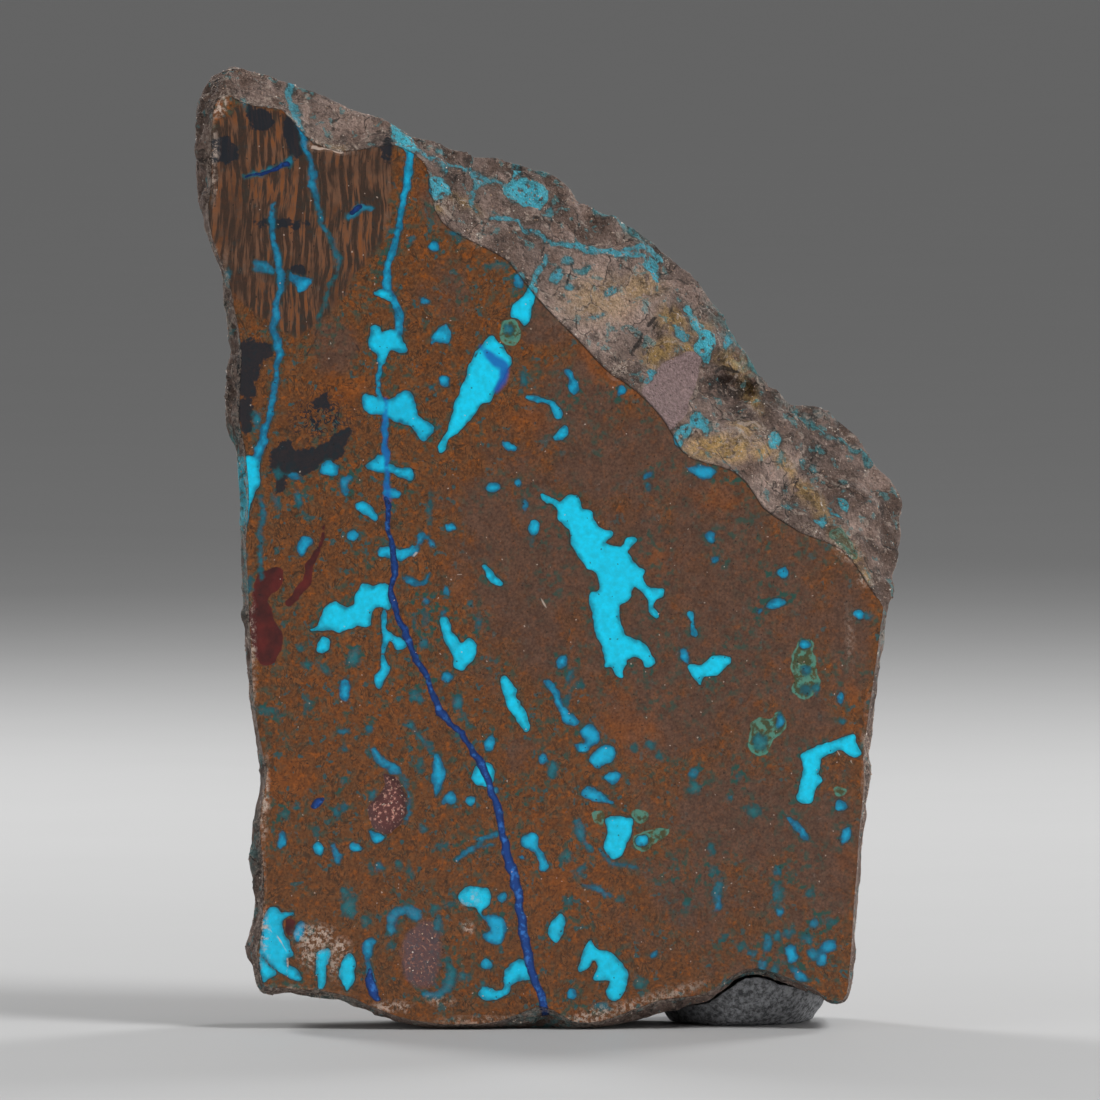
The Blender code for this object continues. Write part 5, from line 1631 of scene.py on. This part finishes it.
class STONE_OT_lump(bpy.types.Operator):
    """Makes the grey prop lump's finely dented surface"""

    bl_idname = "stone_slab.make_lump"
    bl_label = "Make the lump"

    dent_cutoff = 0.6
    sharp_angle = math.radians(40)

    def execute(self, context):
        finish = context.scene.lump_finish
        points, faces = as_arrays(merged_copy("grey_prop_lump"))
        step = finish.mesh_step
        for _ in range(CUT_PASSES):
            points, faces = cut_long_edges(points, faces, step, lambda middle: step)
        normals = corner_normals(points, faces)
        above = smooth(points[:, 2], *LUMP_FOOT)
        for n, (place, normal) in enumerate(zip(points.copy(), normals)):
            dent = noise.fractal(Vector(place) / finish.dent_size, 0.8, 2.0, 3) - self.dent_cutoff
            points[n] = place + normal * min(0.0, dent) * finish.dent_depth * above[n]
        lump = mesh_object("grey_lump_surface", points, faces)
        keep_in_box(lump.data, LUMP_LOW, LUMP_HIGH)
        lump.data.shade_smooth()
        lump.data.set_sharp_from_angle(angle=self.sharp_angle)
        lump.data.materials.append(lump_material(finish))
        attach(lump, "root")
        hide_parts("grey_prop_lump")
        return {"FINISHED"}


# Each light's place, its width and the setting that holds its power
LIGHTS = {
    "key": ((0.75, -0.6, 0.95), 0.45, "key_power"),
    "left": ((-1.0, -0.6, 0.35), 0.6, "side_power"),
    "right": ((1.0, -0.45, 0.3), 0.5, "side_power"),
    "rim_left": ((-0.5, 0.7, 0.5), 0.3, "rim_power"),
    "rim_right": ((0.55, 0.7, 0.55), 0.3, "rim_power"),
}


def area_light(name, place, target, size, power):
    lamp = bpy.data.lights.new(name, "AREA")
    lamp.shape = "DISK"
    lamp.size = size
    lamp.energy = power
    made = bpy.data.objects.new(name, lamp)
    made.location = place
    made.rotation_euler = (Vector(target) - Vector(place)).to_track_quat("-Z", "Y").to_euler()
    bpy.context.scene.collection.objects.link(made)


class STONE_OT_stage(bpy.types.Operator):
    """Makes the floor, the soft lights and the camera"""

    bl_idname = "stone_slab.make_stage"
    bl_label = "Make the stage"

    picture_size = 1100
    film_width = 36.0
    far_end = 100.0

    def execute(self, context):
        setup = context.scene.stage_setup
        self.add_floor(setup)
        self.add_lights(context.scene, setup)
        self.add_camera(context.scene, setup)
        context.scene.view_settings.view_transform = "Standard"
        return {"FINISHED"}

    def add_floor(self, setup):
        size = setup.floor_size
        corners = np.array([(-size, -size, 0), (size, -size, 0), (size, size, 0), (-size, size, 0)])
        floor = mesh_object("pale_floor", corners, np.array([(0, 1, 2), (0, 2, 3)]))
        floor.data.materials.append(floor_material(setup))

    def add_lights(self, scene, setup):
        target = (0.0, SLAB_LOW.y, SLAB_HIGH.z / 2)
        for name, (place, width, power) in LIGHTS.items():
            area_light(name, place, target, width, getattr(setup, power))
        world = bpy.data.worlds.new("pale surroundings")
        world.use_nodes = True
        sky = world.node_tree.nodes["Background"]
        sky.inputs["Color"].default_value = (1.0, 1.0, 1.0, 1.0)
        sky.inputs["Strength"].default_value = setup.sky
        scene.world = world

    def add_camera(self, scene, setup):
        lens = bpy.data.cameras.new("camera")
        lens.sensor_width = self.film_width
        picture_width = self.picture_size * METRES_PER_PIXEL
        lens.lens = self.film_width * setup.distance / picture_width
        lens.clip_end = self.far_end
        camera = bpy.data.objects.new("camera", lens)
        middle = self.picture_size / 2
        target = Vector((across(middle), SLAB_LOW.y, up(middle)))
        back = Vector((0, -math.cos(setup.elevation), math.sin(setup.elevation)))
        camera.location = target + back * setup.distance
        camera.rotation_euler = (-back).to_track_quat("-Z", "Y").to_euler()
        scene.collection.objects.link(camera)
        scene.camera = camera


class STONE_PT_panel(bpy.types.Panel):
    """Lists the slab's makers"""

    bl_idname = "STONE_PT_panel"
    bl_label = "Chrysocolla slab"
    bl_space_type = "VIEW_3D"
    bl_region_type = "UI"
    bl_category = "Stone slab"

    def draw(self, context):
        for maker in MAKERS:
            self.layout.operator(maker.bl_idname)


MAKERS = (STONE_OT_slab, STONE_OT_grains, STONE_OT_lump, STONE_OT_stage)
GROUPS = {"slab_finish": SlabFinish, "grain_finish": GrainFinish, "lump_finish": LumpFinish,
          "stage_setup": StageSetup}


def register():
    for item in (*GROUPS.values(), *MAKERS, STONE_PT_panel):
        bpy.utils.register_class(item)
    for name, group in GROUPS.items():
        setattr(bpy.types.Scene, name, PointerProperty(type=group))


def unregister():
    for name in GROUPS:
        delattr(bpy.types.Scene, name)
    for item in reversed((*GROUPS.values(), *MAKERS, STONE_PT_panel)):
        bpy.utils.unregister_class(item)


def clear_start_objects():
    """Removes the objects that a new file opens with, but none of the frame's."""
    kept = set(frame["nodes"].values()) | set(frame["bodies"].values())
    for item in list(bpy.data.objects):
        if item not in kept:
            bpy.data.objects.remove(item)


def main():
    register()
    clear_start_objects()
    bpy.ops.stone_slab.make_slab()
    bpy.ops.stone_slab.make_grains()
    bpy.ops.stone_slab.make_lump()
    bpy.ops.stone_slab.make_stage()


if __name__ == "__main__":
    main()
